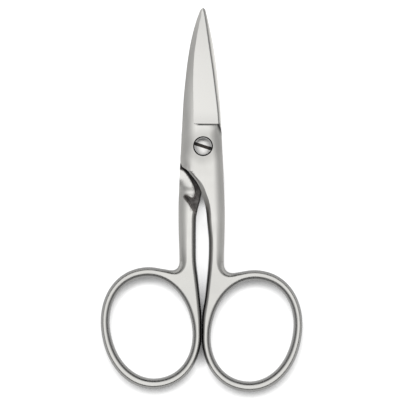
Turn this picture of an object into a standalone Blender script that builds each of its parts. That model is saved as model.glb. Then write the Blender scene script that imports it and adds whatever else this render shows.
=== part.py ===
"""Nail scissors: two forged steel halves with curved blades, turning on one slotted screw.

The scissors lie flat and closed, seen from above: tips towards +Y, finger bows towards -Y, and the
front half on top. Each half is drawn in plan once, in its own view from outside: middle line x = 0,
pivot line y = 0, cutting edge and finger bow on the right. Its heights are counted from the parting
plane, outwards. The rear half is the same drawing turned half a turn about the middle line.
"""

import math

import bmesh
import bpy
import numpy as np
from mathutils import Vector, geometry

MM = 0.001

# Body and blades
HALF_WIDTH = 4.9 * MM          # middle line to the side of the body at the pivot
HALF_DEPTH = 2.3 * MM          # parting plane to an outer face, and to the top of a bow
PARTING_GAP = 0.3 * MM         # running space between the two inner faces
PIVOT_OFFSET = 0.33 * MM       # the screw sits this far right of the middle line
BLADE_START = 4.95 * MM        # pivot to the step where the ground blade face starts
BLADE_LENGTH = 27.3 * MM       # step to tip
BLADE_RISE = 3.6 * MM          # how far the tips curve up off the flat
EDGE_THICKNESS = 0.25 * MM     # land left along the cutting edge
GRIND_SLOPE = 0.3              # rise of the ground face, away from the cutting edge
HOLLOW = 0.12 * MM             # hollow ground into the inner face of a blade
HOLLOW_WIDTH = 3.0 * MM        # from an edge to the full hollow
STEP_RUN = 0.4 * MM            # length of the sloping wall of the step
TIP_LEAN = 0.35 * MM           # both tips meet this far right of the middle line

# Flanks: the bevelled or rounded margins of the outer faces
FLANK = 2.0 * MM               # full flank width, on the spine side of the body

# Handles
SHANK_LENGTH = 28.3 * MM       # pivot to the top of the rear bow
FRONT_EXTRA = 0.7 * MM         # the front bow sits lower by this much
BOW_OPENING_LONG = 23.8 * MM
BOW_OPENING_WIDE = 19.0 * MM
BOW_BAND = 2.15 * MM           # width of the bow's metal at its sides
BOW_END_EXTRA = 0.25 * MM      # and how much wider it is at the two ends
BOW_TILT = math.radians(79.6)  # long axis of the outer oval, from the x axis
OPENING_TILT = math.radians(77)
BOW_SQUARENESS = 2.1           # exponent of the oval, 2 is an ellipse
BOW_GAP = 0.4 * MM             # space between the closed bows
CROTCH_REACH = 5.2 * MM        # from the shank's outer side to where the bow's top runs straight
FRONT_CROTCH = 3.0 * MM        # fillet between shank and bow
REAR_CROTCH = 2.6 * MM

# Seat and shoulder under the other half
SHOULDER_RUN = 0.35 * MM       # length of the shoulder's sloping wall
LOBE_SINK = 0.8 * MM           # how far the lobe dips towards its hook

# Screw
HEAD_DIAMETER = 4.2 * MM
HEAD_HEIGHT = 1.1 * MM
HEAD_GAP = 0.25 * MM           # dark ring round the head
HEAD_SINK = 0.05 * MM          # the head lies this far below the face
SHAFT_DIAMETER = 2.6 * MM
SHAFT_GAP = 0.25 * MM
SEAT_GAP = 0.25 * MM           # under the head
SLOT_WIDTH = 0.7 * MM
SLOT_DEPTH = 0.65 * MM
SLOT_TURN = math.radians(-18)
SCREW_BREAK = 0.12 * MM        # broken edges of the screw
SCREW_SIDES = 48

# Mesh
PLAN_STEP = 1.0 * MM           # spacing of points along outlines and over the faces
CREASE_MARGIN = 0.25 * MM      # creases and rings stay this far from outlines and each other
RING_KEPT_SHARE = 0.9          # a flank ring is kept where it is this near to its full distance
CDT_MERGE = 1e-4               # plan points nearer than this many millimetres are one
SHARP_ANGLE = math.radians(30)
CROTCH_POINTS = 8
OVERRUN = 1.0 * MM             # how far a cutter passes a face

# Outline rows: x, y, flank width, edge height and roundness of the flank, all as shares.
# x is a share of HALF_WIDTH, flank width of FLANK, edge height of HALF_DEPTH.
# y is a share of BLADE_LENGTH above the step.
SPINE_SHARES = (
    (0.061, 1.000, 2.00, 0.13, 0.00),
    (-0.020, 0.990, 2.00, 0.13, 0.00),
    (-0.130, 0.950, 2.00, 0.15, 0.00),
    (-0.305, 0.860, 1.80, 0.22, 0.00),
    (-0.496, 0.728, 1.50, 0.38, 0.00),
    (-0.663, 0.557, 1.30, 0.46, 0.00),
    (-0.777, 0.386, 1.20, 0.48, 0.05),
    (-0.867, 0.214, 1.15, 0.46, 0.15),
    (-0.921, 0.043, 1.05, 0.43, 0.25),
)
EDGE_SHARES = (
    (0.858, 0.015),
    (0.806, 0.129),
    (0.695, 0.300),
    (0.575, 0.470),
    (0.432, 0.643),
    (0.292, 0.814),
    (0.200, 0.920),
    (0.130, 0.980),
    (0.100, 0.996),
    (0.061, 1.000),
)
# Here y is a share of HALF_WIDTH, below the pivot where it is negative.
CHEEK_SHARES = (
    (-0.961, 0.296, 1.00, 0.42, 0.30),
    (-0.996, -0.300, 1.00, 0.42, 0.30),
    (-1.016, -0.610, 1.00, 0.42, 0.30),
    (-0.985, -0.800, 1.00, 0.42, 0.30),
    (-0.935, -0.970, 1.00, 0.42, 0.30),
)
SWEEP_SHARES = (
    (-0.935, -0.970, 0.30, 0.62, 0.00),
    (-0.860, -1.030, 0.31, 0.61, 0.00),
    (-0.696, -1.135, 0.33, 0.60, 0.00),
    (-0.514, -1.350, 0.38, 0.58, 0.00),
    (-0.314, -1.590, 0.42, 0.56, 0.00),
    (-0.171, -1.804, 0.45, 0.54, 0.05),
    (-0.029, -2.090, 0.48, 0.50, 0.10),
)
FRONT_INNER_SHARES = (
    (0.067, -2.329, 0.50, 0.45, 0.20),
    (0.139, -2.567, 0.52, 0.40, 0.30),
    (0.186, -2.853, 0.54, 0.34, 0.40),
    (0.249, -3.520, 0.55, 0.26, 0.55),
    (0.343, -4.470, 0.55, 0.22, 0.65),
    (0.329, -5.430, 0.55, 0.22, 0.75),
)
REAR_INNER_SHARES = (
    (0.020, -2.300, 0.50, 0.48, 0.15),
    (0.076, -2.610, 0.52, 0.42, 0.25),
    (0.160, -2.910, 0.54, 0.36, 0.35),
    (0.243, -3.290, 0.55, 0.28, 0.50),
    (0.268, -3.900, 0.55, 0.24, 0.60),
    (0.272, -4.700, 0.55, 0.22, 0.65),
    (0.262, -5.430, 0.55, 0.22, 0.75),
)
FLANK_SIDE_SHARES = (
    (1.075, -2.090, 1.10, 0.40, 0.50),
    (1.040, -1.135, 0.85, 0.46, 0.40),
    (0.992, -0.182, 0.62, 0.50, 0.30),
    (0.969, 0.296, 0.58, 0.46, 0.25),
    (0.940, 0.770, 0.50, 0.30, 0.25),
    (0.902, 0.920, 0.40, 0.25, 0.25),
    (0.874, 1.010, 0.35, 0.22, 0.25),
)
# Here y is a share of the shank's length below the pivot.
SHANK_OUTER_SHARES = (
    (1.055, 0.960, 0.70, 0.24, 0.80),
    (1.065, 0.860, 0.90, 0.30, 0.70),
    (1.090, 0.740, 1.00, 0.34, 0.60),
    (1.105, 0.600, 1.10, 0.38, 0.50),
    (1.095, 0.434, 1.10, 0.40, 0.50),
)
# Where the shank's inner side runs in to the bow: x as a share of HALF_WIDTH outwards from the
# closed bow's nearest point, y as a share of the bow's half length above its centre.
FRONT_RUN_IN_SHARES = (
    (0.240, 0.837, 0.55, 0.22, 0.85),
    (0.137, 0.506, 0.55, 0.22, 1.00),
    (0.040, 0.300, 0.55, 0.22, 1.00),
)
REAR_RUN_IN_SHARES = (
    (0.152, 0.790, 0.55, 0.22, 0.85),
    (0.062, 0.470, 0.55, 0.22, 1.00),
    (0.014, 0.280, 0.55, 0.22, 1.00),
)
BOW_EDGE_SHARE = 0.22          # edge height of a bow's flanks, of HALF_DEPTH

# Shoulder: the line on the inner face where the half-thick seat ends, in shares of HALF_WIDTH
LOBE_SHARES = (
    (1.200, -0.980),
    (0.888, -1.088),
    (0.700, -1.340),
    (0.553, -1.590),
    (0.420, -1.850),
    (0.352, -2.090),
    (0.355, -2.260),
    (0.457, -2.447),
)
HOOK_SHARES = (
    (0.457, -2.447),
    (0.600, -2.365),
    (0.790, -2.270),
    (0.915, -2.260),
    (0.945, -2.340),
    (0.870, -2.470),
    (0.700, -2.680),
    (0.553, -2.878),
    (0.440, -3.060),
    (0.300, -3.230),
    (0.100, -3.400),
)
LOBE_DIP_SHARES = (-1.65, -2.28, -2.55)    # y where the lobe starts to dip, is lowest and ends

FLANK_RING_SHARES = (0.12, 0.34, 0.64, 1.0)
TIP_LEAN_POWER = 8


def steel(name, colour, roughness):
    """A plain steel material."""
    material = bpy.data.materials.new(name)
    material.use_nodes = True
    shader = material.node_tree.nodes["Principled BSDF"]
    shader.inputs["Base Color"].default_value = (*colour, 1.0)
    shader.inputs["Metallic"].default_value = 1.0
    shader.inputs["Roughness"].default_value = roughness
    return material


def smooth_path(rows, spacing):
    """Rows of numbers joined by a smooth curve that passes through each of them."""
    rows = np.array(rows, dtype=float)
    chords = np.linalg.norm(np.diff(rows[:, :2], axis=0), axis=1)
    places = np.concatenate([[0.0], np.cumsum(chords)])
    slopes = np.gradient(rows, places, axis=0)
    path = [rows[:1]]
    for i, chord in enumerate(chords):
        count = max(1, math.ceil(chord / spacing))
        t = (np.arange(1, count + 1) / count)[:, None]
        start = (2 * t**3 - 3 * t**2 + 1) * rows[i] + (t**3 - 2 * t**2 + t) * chord * slopes[i]
        end = (3 * t**2 - 2 * t**3) * rows[i + 1] + (t**3 - t**2) * chord * slopes[i + 1]
        path.append(start + end)
    return np.concatenate(path)


def rows_in_sizes(shares, y_size, y_start=0.0):
    """Outline rows in metres from a table of shares."""
    return [
        (x * HALF_WIDTH, y_start + y * y_size, width * FLANK, edge * HALF_DEPTH, roundness)
        for x, y, width, edge, roundness in shares
    ]


def oval(half_long, half_wide, tilt, angles):
    """Points of a tilted oval about its centre."""
    u = np.sign(np.cos(angles)) * np.abs(np.cos(angles)) ** (2 / BOW_SQUARENESS) * half_long
    v = np.sign(np.sin(angles)) * np.abs(np.sin(angles)) ** (2 / BOW_SQUARENESS) * half_wide
    x = u * math.cos(tilt) - v * math.sin(tilt)
    y = u * math.sin(tilt) + v * math.cos(tilt)
    return np.stack([x, y], axis=1)


def with_flank(points, values):
    """Plan points with the same flank values on each."""
    return np.hstack([points, np.tile(values, (len(points), 1))])


def half_outline(shank_length, crotch, lean, inner_shares, run_in_shares):
    """Paths of the spine, of both sides of the handle, of the cutting edge and of the opening."""
    def leaning(path):
        along = np.clip((path[:, 1] - BLADE_START) / BLADE_LENGTH, 0, 1)
        path[:, 0] += lean * along**TIP_LEAN_POWER
        return path

    half_long = BOW_OPENING_LONG / 2
    half_wide = BOW_OPENING_WIDE / 2
    turns = np.linspace(0, 2 * math.pi, round(2 * math.pi * half_long / PLAN_STEP), endpoint=False)
    outer = oval(half_long + BOW_BAND + BOW_END_EXTRA, half_wide + BOW_BAND, BOW_TILT, turns)
    opening = oval(half_long, half_wide, OPENING_TILT, turns)
    reach = -outer[:, 0].min()
    half_height = outer[:, 1].max()
    centre = np.array([BOW_GAP / 2 + reach, -shank_length - half_height])
    bow_flank = ((BOW_BAND + BOW_END_EXTRA) / 2, BOW_EDGE_SHARE * HALF_DEPTH, 1.0)

    spine = leaning(smooth_path(
        rows_in_sizes(SPINE_SHARES, BLADE_LENGTH, BLADE_START) + rows_in_sizes(CHEEK_SHARES, HALF_WIDTH),
        PLAN_STEP))
    edge = leaning(smooth_path(
        [(x * HALF_WIDTH, BLADE_START + y * BLADE_LENGTH) for x, y in EDGE_SHARES], PLAN_STEP))

    nearest_point = int(outer[:, 0].argmin())
    run_in = [
        (BOW_GAP / 2 + x * HALF_WIDTH, centre[1] + y * half_height, w * FLANK, e * HALF_DEPTH, r)
        for x, y, w, e, r in run_in_shares
    ]
    touch = [(*(outer[nearest_point] + centre), *bow_flank)]
    inner_side = smooth_path(
        rows_in_sizes(SWEEP_SHARES + inner_shares, HALF_WIDTH) + run_in + touch, PLAN_STEP)

    outer_side = smooth_path(
        rows_in_sizes(SHANK_OUTER_SHARES, -shank_length) + rows_in_sizes(FLANK_SIDE_SHARES, HALF_WIDTH),
        PLAN_STEP)
    around = np.roll(outer, -nearest_point - 1, axis=0) + centre
    past_top = int(around[:, 1].argmax())
    leave = outer_side[0, 0] + CROTCH_REACH
    end = next(i for i in range(past_top, len(around)) if around[i, 0] < leave)
    around = with_flank(around[:end], bow_flank)
    corner = crotch_rows(around[-2], around[-1], outer_side[1], outer_side[0], crotch)
    outer_side = outer_side[outer_side[:, 1] > corner[-1, 1]]

    inner_side = np.concatenate([inner_side, around, corner[:1]])
    outer_side = np.concatenate([corner, outer_side])
    opening = with_flank(np.vstack([opening, opening[:1]]) + centre, bow_flank)
    return spine, inner_side, outer_side, edge, opening


def crotch_rows(before, start, beyond, end, radius):
    """Rows of the corner between the bow's top and the shank's side, with a fillet in it."""
    along_bow = (start[:2] - before[:2]) / np.linalg.norm(start[:2] - before[:2])
    up_shank = (beyond[:2] - end[:2]) / np.linalg.norm(beyond[:2] - end[:2])
    run, _ = np.linalg.solve(np.stack([along_bow, -up_shank], axis=1), end[:2] - start[:2])
    corner = start[:2] + run * along_bow
    t = np.linspace(0, 1, CROTCH_POINTS)[:, None]
    first, last = corner - radius * along_bow, corner + radius * up_shank
    plan = (1 - t) ** 2 * first + 2 * t * (1 - t) * corner + t**2 * last
    return np.hstack([plan, (1 - t) * start[2:] + t * end[2:]])


def nearest(points, path):
    """Distance from each point to a path, and the path's further values at that place."""
    start = path[:-1]
    step = path[1:, :2] - start[:, :2]
    offset = points[:, None, :] - start[None, :, :2]
    t = np.clip((offset * step).sum(axis=2) / (step * step).sum(axis=1), 0, 1)
    distance = np.linalg.norm(offset - t[..., None] * step, axis=2)
    i = distance.argmin(axis=1)
    rows = np.arange(len(points))
    share = t[rows, i][:, None]
    values = (1 - share) * start[i, 2:] + share * path[i + 1, 2:]
    return distance[rows, i], values


def inside(points, polygon):
    """Whether each point lies inside a polygon."""
    x, y = points[:, 0, None], points[:, 1, None]
    x0, y0 = polygon[:, 0], polygon[:, 1]
    x1, y1 = np.roll(x0, -1), np.roll(y0, -1)
    crosses = (y0 > y) != (y1 > y)
    rise = np.where(y1 == y0, 1.0, y1 - y0)
    reach = x0 + (y - y0) * (x1 - x0) / rise
    return (crosses & (x < reach)).sum(axis=1) % 2 == 1


class Plan:
    """The plan of one half: its outlines, creases and distances."""

    def __init__(self, shank_length, crotch, lean, inner_shares, run_in_shares):
        spine, inner_side, outer_side, self.edge, self.opening = half_outline(
            shank_length, crotch, lean, inner_shares, run_in_shares)
        self.flanks = spine, inner_side, outer_side, self.opening
        self.outline = np.concatenate([
            spine[:-1, :2], inner_side[:-1, :2], outer_side[:, :2], self.edge[:-1]])
        lobe = smooth_path([(x * HALF_WIDTH, y * HALF_WIDTH) for x, y in LOBE_SHARES], PLAN_STEP / 2)
        hook = smooth_path([(x * HALF_WIDTH, y * HALF_WIDTH) for x, y in HOOK_SHARES], PLAN_STEP / 2)
        self.shoulder = np.concatenate([lobe, hook[1:]])
        far = 4 * HALF_WIDTH
        self.seat_area = np.concatenate([self.shoulder, [(-far, -far), (-far, far), (far, far)]])

    def flank_heights(self, points):
        """Height each flank allows at each point, one row per flank."""
        return np.array([flank_height(*nearest(points, flank)) for flank in self.flanks])

    def clearance(self, points):
        """Distance to the nearest outline."""
        return np.min([nearest(points, path)[0] for path in (*self.flanks, self.edge)], axis=0)

    def shoulder_distance(self, points):
        """Distance from the shoulder line, positive on the full-thick side."""
        distance, _ = nearest(points, self.shoulder)
        seat = inside(points, self.seat_area) | (points[:, 1] > 0)
        return np.where(seat, -distance, distance)

    def holds(self, points):
        """Whether each point is on the metal."""
        return inside(points, self.outline) & ~inside(points, self.opening[:-1, :2])


def flank_height(distance, values):
    """Height of an outer face, which rises from its edge height over the flank."""
    width, edge, roundness = values.T
    t = np.clip(distance / width, 0, 1)
    swell = (1 - (1 - t) ** (1 + roundness)) ** (1 - roundness / 2)
    return edge + (HALF_DEPTH - edge) * swell


def ease(t):
    """A smooth step from 0 to 1."""
    t = np.clip(t, 0, 1)
    return t * t * (3 - 2 * t)


def bend(points):
    """Rise of the curved blades."""
    along = np.clip((points[:, 1] - BLADE_START) / BLADE_LENGTH, 0, None)
    return BLADE_RISE * along**2


def outer_height(plan, points):
    """Height of the outer face above the parting plane."""
    face = plan.flank_heights(points).min(axis=0)
    to_edge, _ = nearest(points, plan.edge)
    ground = PARTING_GAP / 2 + EDGE_THICKNESS + GRIND_SLOPE * to_edge
    wall = HALF_DEPTH * np.clip((BLADE_START + STEP_RUN - points[:, 1]) / STEP_RUN, 0, 1)
    return np.minimum(face, ground + wall)


def inner_height(plan, points):
    """Height of the inner face above the parting plane, below it where the handle is full-thick."""
    blade = ease((points[:, 1] - BLADE_START) / HOLLOW_WIDTH)
    seat = PARTING_GAP / 2 + HOLLOW * blade * ease(plan.clearance(points) / HOLLOW_WIDTH)
    start, low, end = (share * HALF_WIDTH for share in LOBE_DIP_SHARES)
    dip = LOBE_SINK * np.minimum(
        ease((start - points[:, 1]) / (start - low)), ease((points[:, 1] - end) / (low - end)))
    handle = dip - plan.flank_heights(points).min(axis=0)
    share = ease(plan.shoulder_distance(points) / SHOULDER_RUN)
    return seat + (np.minimum(handle, seat) - seat) * share


def offset_line(line, distance):
    """A line moved sideways, to its left for a positive distance or row of distances."""
    way = np.gradient(line, axis=0)
    way /= np.linalg.norm(way, axis=1)[:, None]
    return line + np.reshape(distance, (-1, 1)) * np.stack([-way[:, 1], way[:, 0]], axis=1)


class Points:
    """Plan points and the edges that join them, none too close to another."""

    def __init__(self):
        self.points = []
        self.edges = []

    def add_line(self, line, keep, least_gap, joined=True):
        """Adds a line's kept points, joined where neighbours are both kept."""
        before = None
        fixed = np.array(self.points) if self.points else np.zeros((0, 2))
        for point, kept in zip(line, keep):
            clear = len(fixed) == 0 or np.linalg.norm(fixed - point, axis=1).min() > least_gap
            if not (kept and clear):
                before = None
                continue
            self.points.append(point)
            if joined and before is not None:
                self.edges.append((before, len(self.points) - 1))
            before = len(self.points) - 1

    def add_loop(self, loop):
        """Adds a closed outline."""
        first = len(self.points)
        self.points.extend(loop)
        count = len(loop)
        self.edges.extend((first + i, first + (i + 1) % count) for i in range(count))


def sheet(plan, creases):
    """Plan vertices, triangles and outline loops of one face: its flanks' rings and its creases."""
    work = Points()
    work.add_loop(plan.outline)
    work.add_loop(plan.opening[:-1, :2])
    for line in creases:
        keep = plan.holds(line) & (plan.clearance(line) > CREASE_MARGIN)
        work.add_line(line, keep, SHOULDER_RUN / 2)

    for share in FLANK_RING_SHARES:
        for i, flank in enumerate(plan.flanks):
            side = -1 if flank is plan.opening else 1
            ring = offset_line(flank[:, :2], side * share * flank[:, 2])
            heights = plan.flank_heights(ring)
            lowest = heights[i] <= heights.min(axis=0) + CREASE_MARGIN / 10
            near = nearest(ring, flank)[0] > RING_KEPT_SHARE * share * flank[:, 2]
            keep = plan.holds(ring) & lowest & near & (plan.clearance(ring) > CREASE_MARGIN)
            work.add_line(ring, keep, CREASE_MARGIN)

    low, high = plan.outline.min(axis=0), plan.outline.max(axis=0)
    columns = np.arange(low[0], high[0], PLAN_STEP)
    rows = np.arange(low[1], high[1], PLAN_STEP)
    grid = np.array([(x + (j % 2) * PLAN_STEP / 2, y) for j, y in enumerate(rows) for x in columns])
    grid = grid[plan.holds(grid)]
    on_flank = plan.flank_heights(grid).min(axis=0) < HALF_DEPTH
    grid = grid[~(on_flank & (grid[:, 1] < BLADE_START)) & (plan.clearance(grid) > PLAN_STEP / 2)]
    work.add_line(grid, [True] * len(grid), PLAN_STEP / 2, joined=False)

    flat = [Vector((x / MM, y / MM)) for x, y in work.points]
    vertices, _, faces, sources, _, _ = geometry.delaunay_2d_cdt(flat, work.edges, [], 1, CDT_MERGE)
    vertices = np.array([(v.x, v.y) for v in vertices]) * MM
    faces = np.array(faces)
    placed = {source: i for i, merged in enumerate(sources) for source in merged}
    split = len(plan.outline)
    loops = [placed[i] for i in range(split)], [placed[split + i] for i in range(len(plan.opening) - 1)]
    return vertices, faces[plan.holds(vertices[faces].mean(axis=1))], loops


def outer_creases(plan):
    """The ridge of the blade and the two edges of the step."""
    across = np.arange(-HALF_WIDTH, HALF_WIDTH, PLAN_STEP)
    step_top = np.stack([across, np.full(len(across), BLADE_START)], axis=1)
    return blade_ridge(plan), step_top, step_top + (0, STEP_RUN)


def inner_creases(plan):
    """The foot and the top of the shoulder's wall."""
    return offset_line(plan.shoulder, -SHOULDER_RUN / 20), offset_line(plan.shoulder, SHOULDER_RUN)


def blade_ridge(plan):
    """The line where the spine's bevel meets the ground face."""
    levels = np.arange(BLADE_START + STEP_RUN, BLADE_START + BLADE_LENGTH, PLAN_STEP)
    ridge = []
    for y in levels:
        x = np.arange(-HALF_WIDTH, HALF_WIDTH, PLAN_STEP / 10)
        points = np.stack([x, np.full(len(x), y)], axis=1)
        points = points[plan.holds(points)]
        if len(points) == 0:
            continue
        to_edge, _ = nearest(points, plan.edge)
        bevel = plan.flank_heights(points).min(axis=0)
        ground = PARTING_GAP / 2 + EDGE_THICKNESS + GRIND_SLOPE * to_edge
        ridge.append(points[int(np.minimum(bevel, ground).argmax())])
    return np.array(ridge)


def build_half(name, plan, facing, material):
    """One half as an object whose origin is on the screw's axis, at the lowest level."""
    def placed(points, height):
        level = HALF_DEPTH + facing * height(plan, points) + bend(points)
        return np.stack([points[:, 0] * facing - PIVOT_OFFSET, points[:, 1], level], axis=1)

    outer_plan, outer_faces, outer_loops = sheet(plan, outer_creases(plan))
    inner_plan, inner_faces, inner_loops = sheet(plan, inner_creases(plan))
    corners = np.concatenate([placed(outer_plan, outer_height), placed(inner_plan, inner_height)])
    count = len(outer_plan)
    faces = outer_faces.tolist() + (inner_faces[:, ::-1] + count).tolist()
    for outer_loop, inner_loop in zip(outer_loops, inner_loops):
        pairs = list(zip(outer_loop, [i + count for i in inner_loop]))
        for (top, bottom), (next_top, next_bottom) in zip(pairs, pairs[1:] + pairs[:1]):
            faces.append([next_top, top, bottom, next_bottom])

    mesh = bpy.data.meshes.new(name)
    mesh.from_pydata(corners.tolist(), [], faces)
    work = bmesh.new()
    work.from_mesh(mesh)
    bmesh.ops.triangulate(work, faces=work.faces)
    bmesh.ops.recalc_face_normals(work, faces=work.faces)
    work.to_mesh(mesh)
    work.free()
    mesh.shade_smooth()
    mesh.set_sharp_from_angle(angle=SHARP_ANGLE)
    mesh.materials.append(material)
    half = bpy.data.objects.new(name, mesh)
    bpy.context.scene.collection.objects.link(half)
    return half


def turned(name, profile, sides, material=None):
    """A solid of revolution about the screw's axis, from radius and height pairs, bottom first."""
    work = bmesh.new()
    rings = []
    for radius, height in profile:
        if radius == 0:
            rings.append([work.verts.new((0, 0, height))])
            continue
        angles = [2 * math.pi * i / sides for i in range(sides)]
        rings.append([work.verts.new((radius * math.cos(a), radius * math.sin(a), height)) for a in angles])
    for lower, upper in zip(rings, rings[1:]):
        for i in range(sides):
            j = (i + 1) % sides
            corners = [lower[i % len(lower)], lower[j % len(lower)]]
            corners += [upper[j % len(upper)], upper[i % len(upper)]]
            work.faces.new(list(dict.fromkeys(corners)))
    bmesh.ops.recalc_face_normals(work, faces=work.faces)
    mesh = bpy.data.meshes.new(name)
    work.to_mesh(mesh)
    work.free()
    mesh.shade_smooth()
    mesh.set_sharp_from_angle(angle=SHARP_ANGLE)
    if material:
        mesh.materials.append(material)
    solid = bpy.data.objects.new(name, mesh)
    bpy.context.scene.collection.objects.link(solid)
    return solid


def cut(target, cutter):
    """Takes a hidden cutter out of a solid and moves the cutter with it."""
    cutter.hide_render = True
    cutter.display_type = "WIRE"
    cutter.parent = target
    modifier = target.modifiers.new("Cut " + cutter.name, "BOOLEAN")
    modifier.operation = "DIFFERENCE"
    modifier.solver = "EXACT"
    modifier.object = cutter


def build_screw(material):
    """The pivot screw: slotted flush head, plain shoulder, and an end level with the back."""
    head = HEAD_DIAMETER / 2
    shaft = SHAFT_DIAMETER / 2
    face = 2 * HALF_DEPTH - HEAD_SINK
    under = face - HEAD_HEIGHT
    profile = [
        (0, HEAD_SINK),
        (shaft - SCREW_BREAK, HEAD_SINK),
        (shaft, HEAD_SINK + SCREW_BREAK),
        (shaft, under),
        (head, under),
        (head, face - SCREW_BREAK),
        (head - SCREW_BREAK, face),
        (0, face),
    ]
    screw = turned("pivot_screw", profile, SCREW_SIDES, material)

    slot_mesh = bpy.data.meshes.new("slot_cutter")
    work = bmesh.new()
    bmesh.ops.create_cube(work, size=1.0)
    size = Vector((HEAD_DIAMETER + 2 * OVERRUN, SLOT_WIDTH, SLOT_DEPTH + OVERRUN))
    bmesh.ops.scale(work, verts=work.verts, vec=size)
    work.to_mesh(slot_mesh)
    work.free()
    slot = bpy.data.objects.new("slot_cutter", slot_mesh)
    bpy.context.scene.collection.objects.link(slot)
    slot.location.z = face - SLOT_DEPTH + size.z / 2
    slot.rotation_euler.z = SLOT_TURN
    cut(screw, slot)
    return screw


def build_scissors():
    """All three pieces, placed with the middle of the whole at the origin and the lowest face at 0."""
    satin = steel("satin_steel", (0.72, 0.71, 0.69), 0.3)
    screw_steel = steel("screw_steel", (0.62, 0.62, 0.61), 0.25)
    front_plan = Plan(
        SHANK_LENGTH + FRONT_EXTRA, FRONT_CROTCH, 0, FRONT_INNER_SHARES, FRONT_RUN_IN_SHARES)
    rear_plan = Plan(
        SHANK_LENGTH, REAR_CROTCH, -2 * TIP_LEAN, REAR_INNER_SHARES, REAR_RUN_IN_SHARES)
    front = build_half("front_half", front_plan, 1, satin)
    rear = build_half("rear_half", rear_plan, -1, satin)
    screw = build_screw(screw_steel)

    bore = SHAFT_DIAMETER / 2 + SHAFT_GAP
    recess = HEAD_DIAMETER / 2 + HEAD_GAP
    floor = 2 * HALF_DEPTH - HEAD_SINK - HEAD_HEIGHT - SEAT_GAP
    top = 2 * HALF_DEPTH + OVERRUN
    cut(front, turned(
        "front_bore_cutter",
        [(0, HALF_DEPTH - OVERRUN / 2), (bore, HALF_DEPTH - OVERRUN / 2), (bore, floor),
         (recess, floor), (recess, top), (0, top)], SCREW_SIDES))
    cut(rear, turned(
        "rear_bore_cutter",
        [(0, -OVERRUN), (bore, -OVERRUN), (bore, HALF_DEPTH + OVERRUN / 2), (0, HALF_DEPTH + OVERRUN / 2)],
        SCREW_SIDES))

    corners = np.array([v.co for half in (front, rear) for v in half.data.vertices])
    middle = (corners.min(axis=0) + corners.max(axis=0)) / 2
    for piece in (front, rear, screw):
        piece.location = (-middle[0], -middle[1], 0)


for old in list(bpy.data.objects):
    bpy.data.objects.remove(old, do_unlink=True)
build_scissors()
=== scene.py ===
# %% [markdown]
# # Nail scissors
#
# Small steel scissors lie closed on a white table and are seen from straight above. They are three
# pieces: two forged halves that cross at a joint, and one slotted screw that holds them together.
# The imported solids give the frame: where each piece is and how it turns. Here each piece is made
# again with a much finer surface, so that the reflections run smoothly over it.

import math

import bmesh
import bpy
import numpy as np
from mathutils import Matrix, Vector, geometry, kdtree


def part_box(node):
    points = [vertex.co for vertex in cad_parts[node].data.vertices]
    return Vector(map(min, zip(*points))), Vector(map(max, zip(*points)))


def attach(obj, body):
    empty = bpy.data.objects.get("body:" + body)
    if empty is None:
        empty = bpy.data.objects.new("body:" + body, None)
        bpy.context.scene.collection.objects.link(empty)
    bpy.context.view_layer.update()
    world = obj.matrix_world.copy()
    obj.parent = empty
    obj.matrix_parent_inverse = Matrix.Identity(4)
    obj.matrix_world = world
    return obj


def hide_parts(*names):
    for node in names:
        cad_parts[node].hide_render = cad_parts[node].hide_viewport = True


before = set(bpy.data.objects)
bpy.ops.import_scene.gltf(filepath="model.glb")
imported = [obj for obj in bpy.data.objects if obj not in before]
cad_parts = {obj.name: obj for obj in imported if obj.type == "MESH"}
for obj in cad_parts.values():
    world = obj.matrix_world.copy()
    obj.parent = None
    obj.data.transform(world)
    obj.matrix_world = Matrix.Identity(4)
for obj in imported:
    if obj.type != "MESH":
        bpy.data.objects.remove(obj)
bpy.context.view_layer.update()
pivot = np.mean(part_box("pivot_screw"), axis=0)


def add_object(name, data):
    """A new object in the scene."""
    made = bpy.data.objects.new(name, data)
    bpy.context.scene.collection.objects.link(made)
    return made


def mesh_object(name, work):
    """A new object with the mesh of a bmesh, which is freed."""
    mesh = bpy.data.meshes.new(name)
    work.to_mesh(mesh)
    work.free()
    return add_object(name, mesh)


# %% [markdown]
# ## Sizes
#
# The main sizes are those of the solids, in metres. Gaps and small edges are finer here: real
# scissors touch at the blades and at the bows, and only the solids need a running space there.

# %% Sizes
MM = 0.001
HALF_WIDTH = 4.9 * MM
HALF_DEPTH = 2.3 * MM
PARTING_GAP = 0.12 * MM
PIVOT_OFFSET = 0.33 * MM
BLADE_START = 4.7 * MM
BLADE_LENGTH = 27.55 * MM
BLADE_RISE = 3.6 * MM
EDGE_THICKNESS = 0.34 * MM
GRIND_SLOPE = 0.3
HOLLOW = 0.12 * MM
HOLLOW_WIDTH = 3.0 * MM
HONED_EDGE = 0.06 * MM
HONED_SLOPE = 1.3
STEP_RUN = 0.58 * MM
TIP_LEAN = 0.35 * MM
TIP_LEAN_POWER = 8
FLANK = 2.0 * MM
SHANK_LENGTH = 28.3 * MM
FRONT_EXTRA = 0.7 * MM
BOW_OPENING_LONG = 23.8 * MM
BOW_OPENING_WIDE = 19.0 * MM
BOW_BAND = 2.15 * MM
BOW_END_EXTRA = 0.25 * MM
BOW_TILT = math.radians(79.6)
OPENING_TILT = math.radians(77)
BOW_SQUARENESS = 2.1
BOW_GAP = 0.06 * MM
OUTER_FLANK_SHARE = 0.38
INNER_FLANK_SHARE = 0.54
CROTCH_REACH = 5.2 * MM
FRONT_CROTCH = 3.0 * MM
REAR_CROTCH = 2.6 * MM
CROTCH_POINTS = 16
SHOULDER_RUN = 0.36 * MM
LOBE_SINK = 0.32 * MM
GROUND_START = BLADE_START + STEP_RUN
middle_x = pivot[0] - PIVOT_OFFSET

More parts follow.
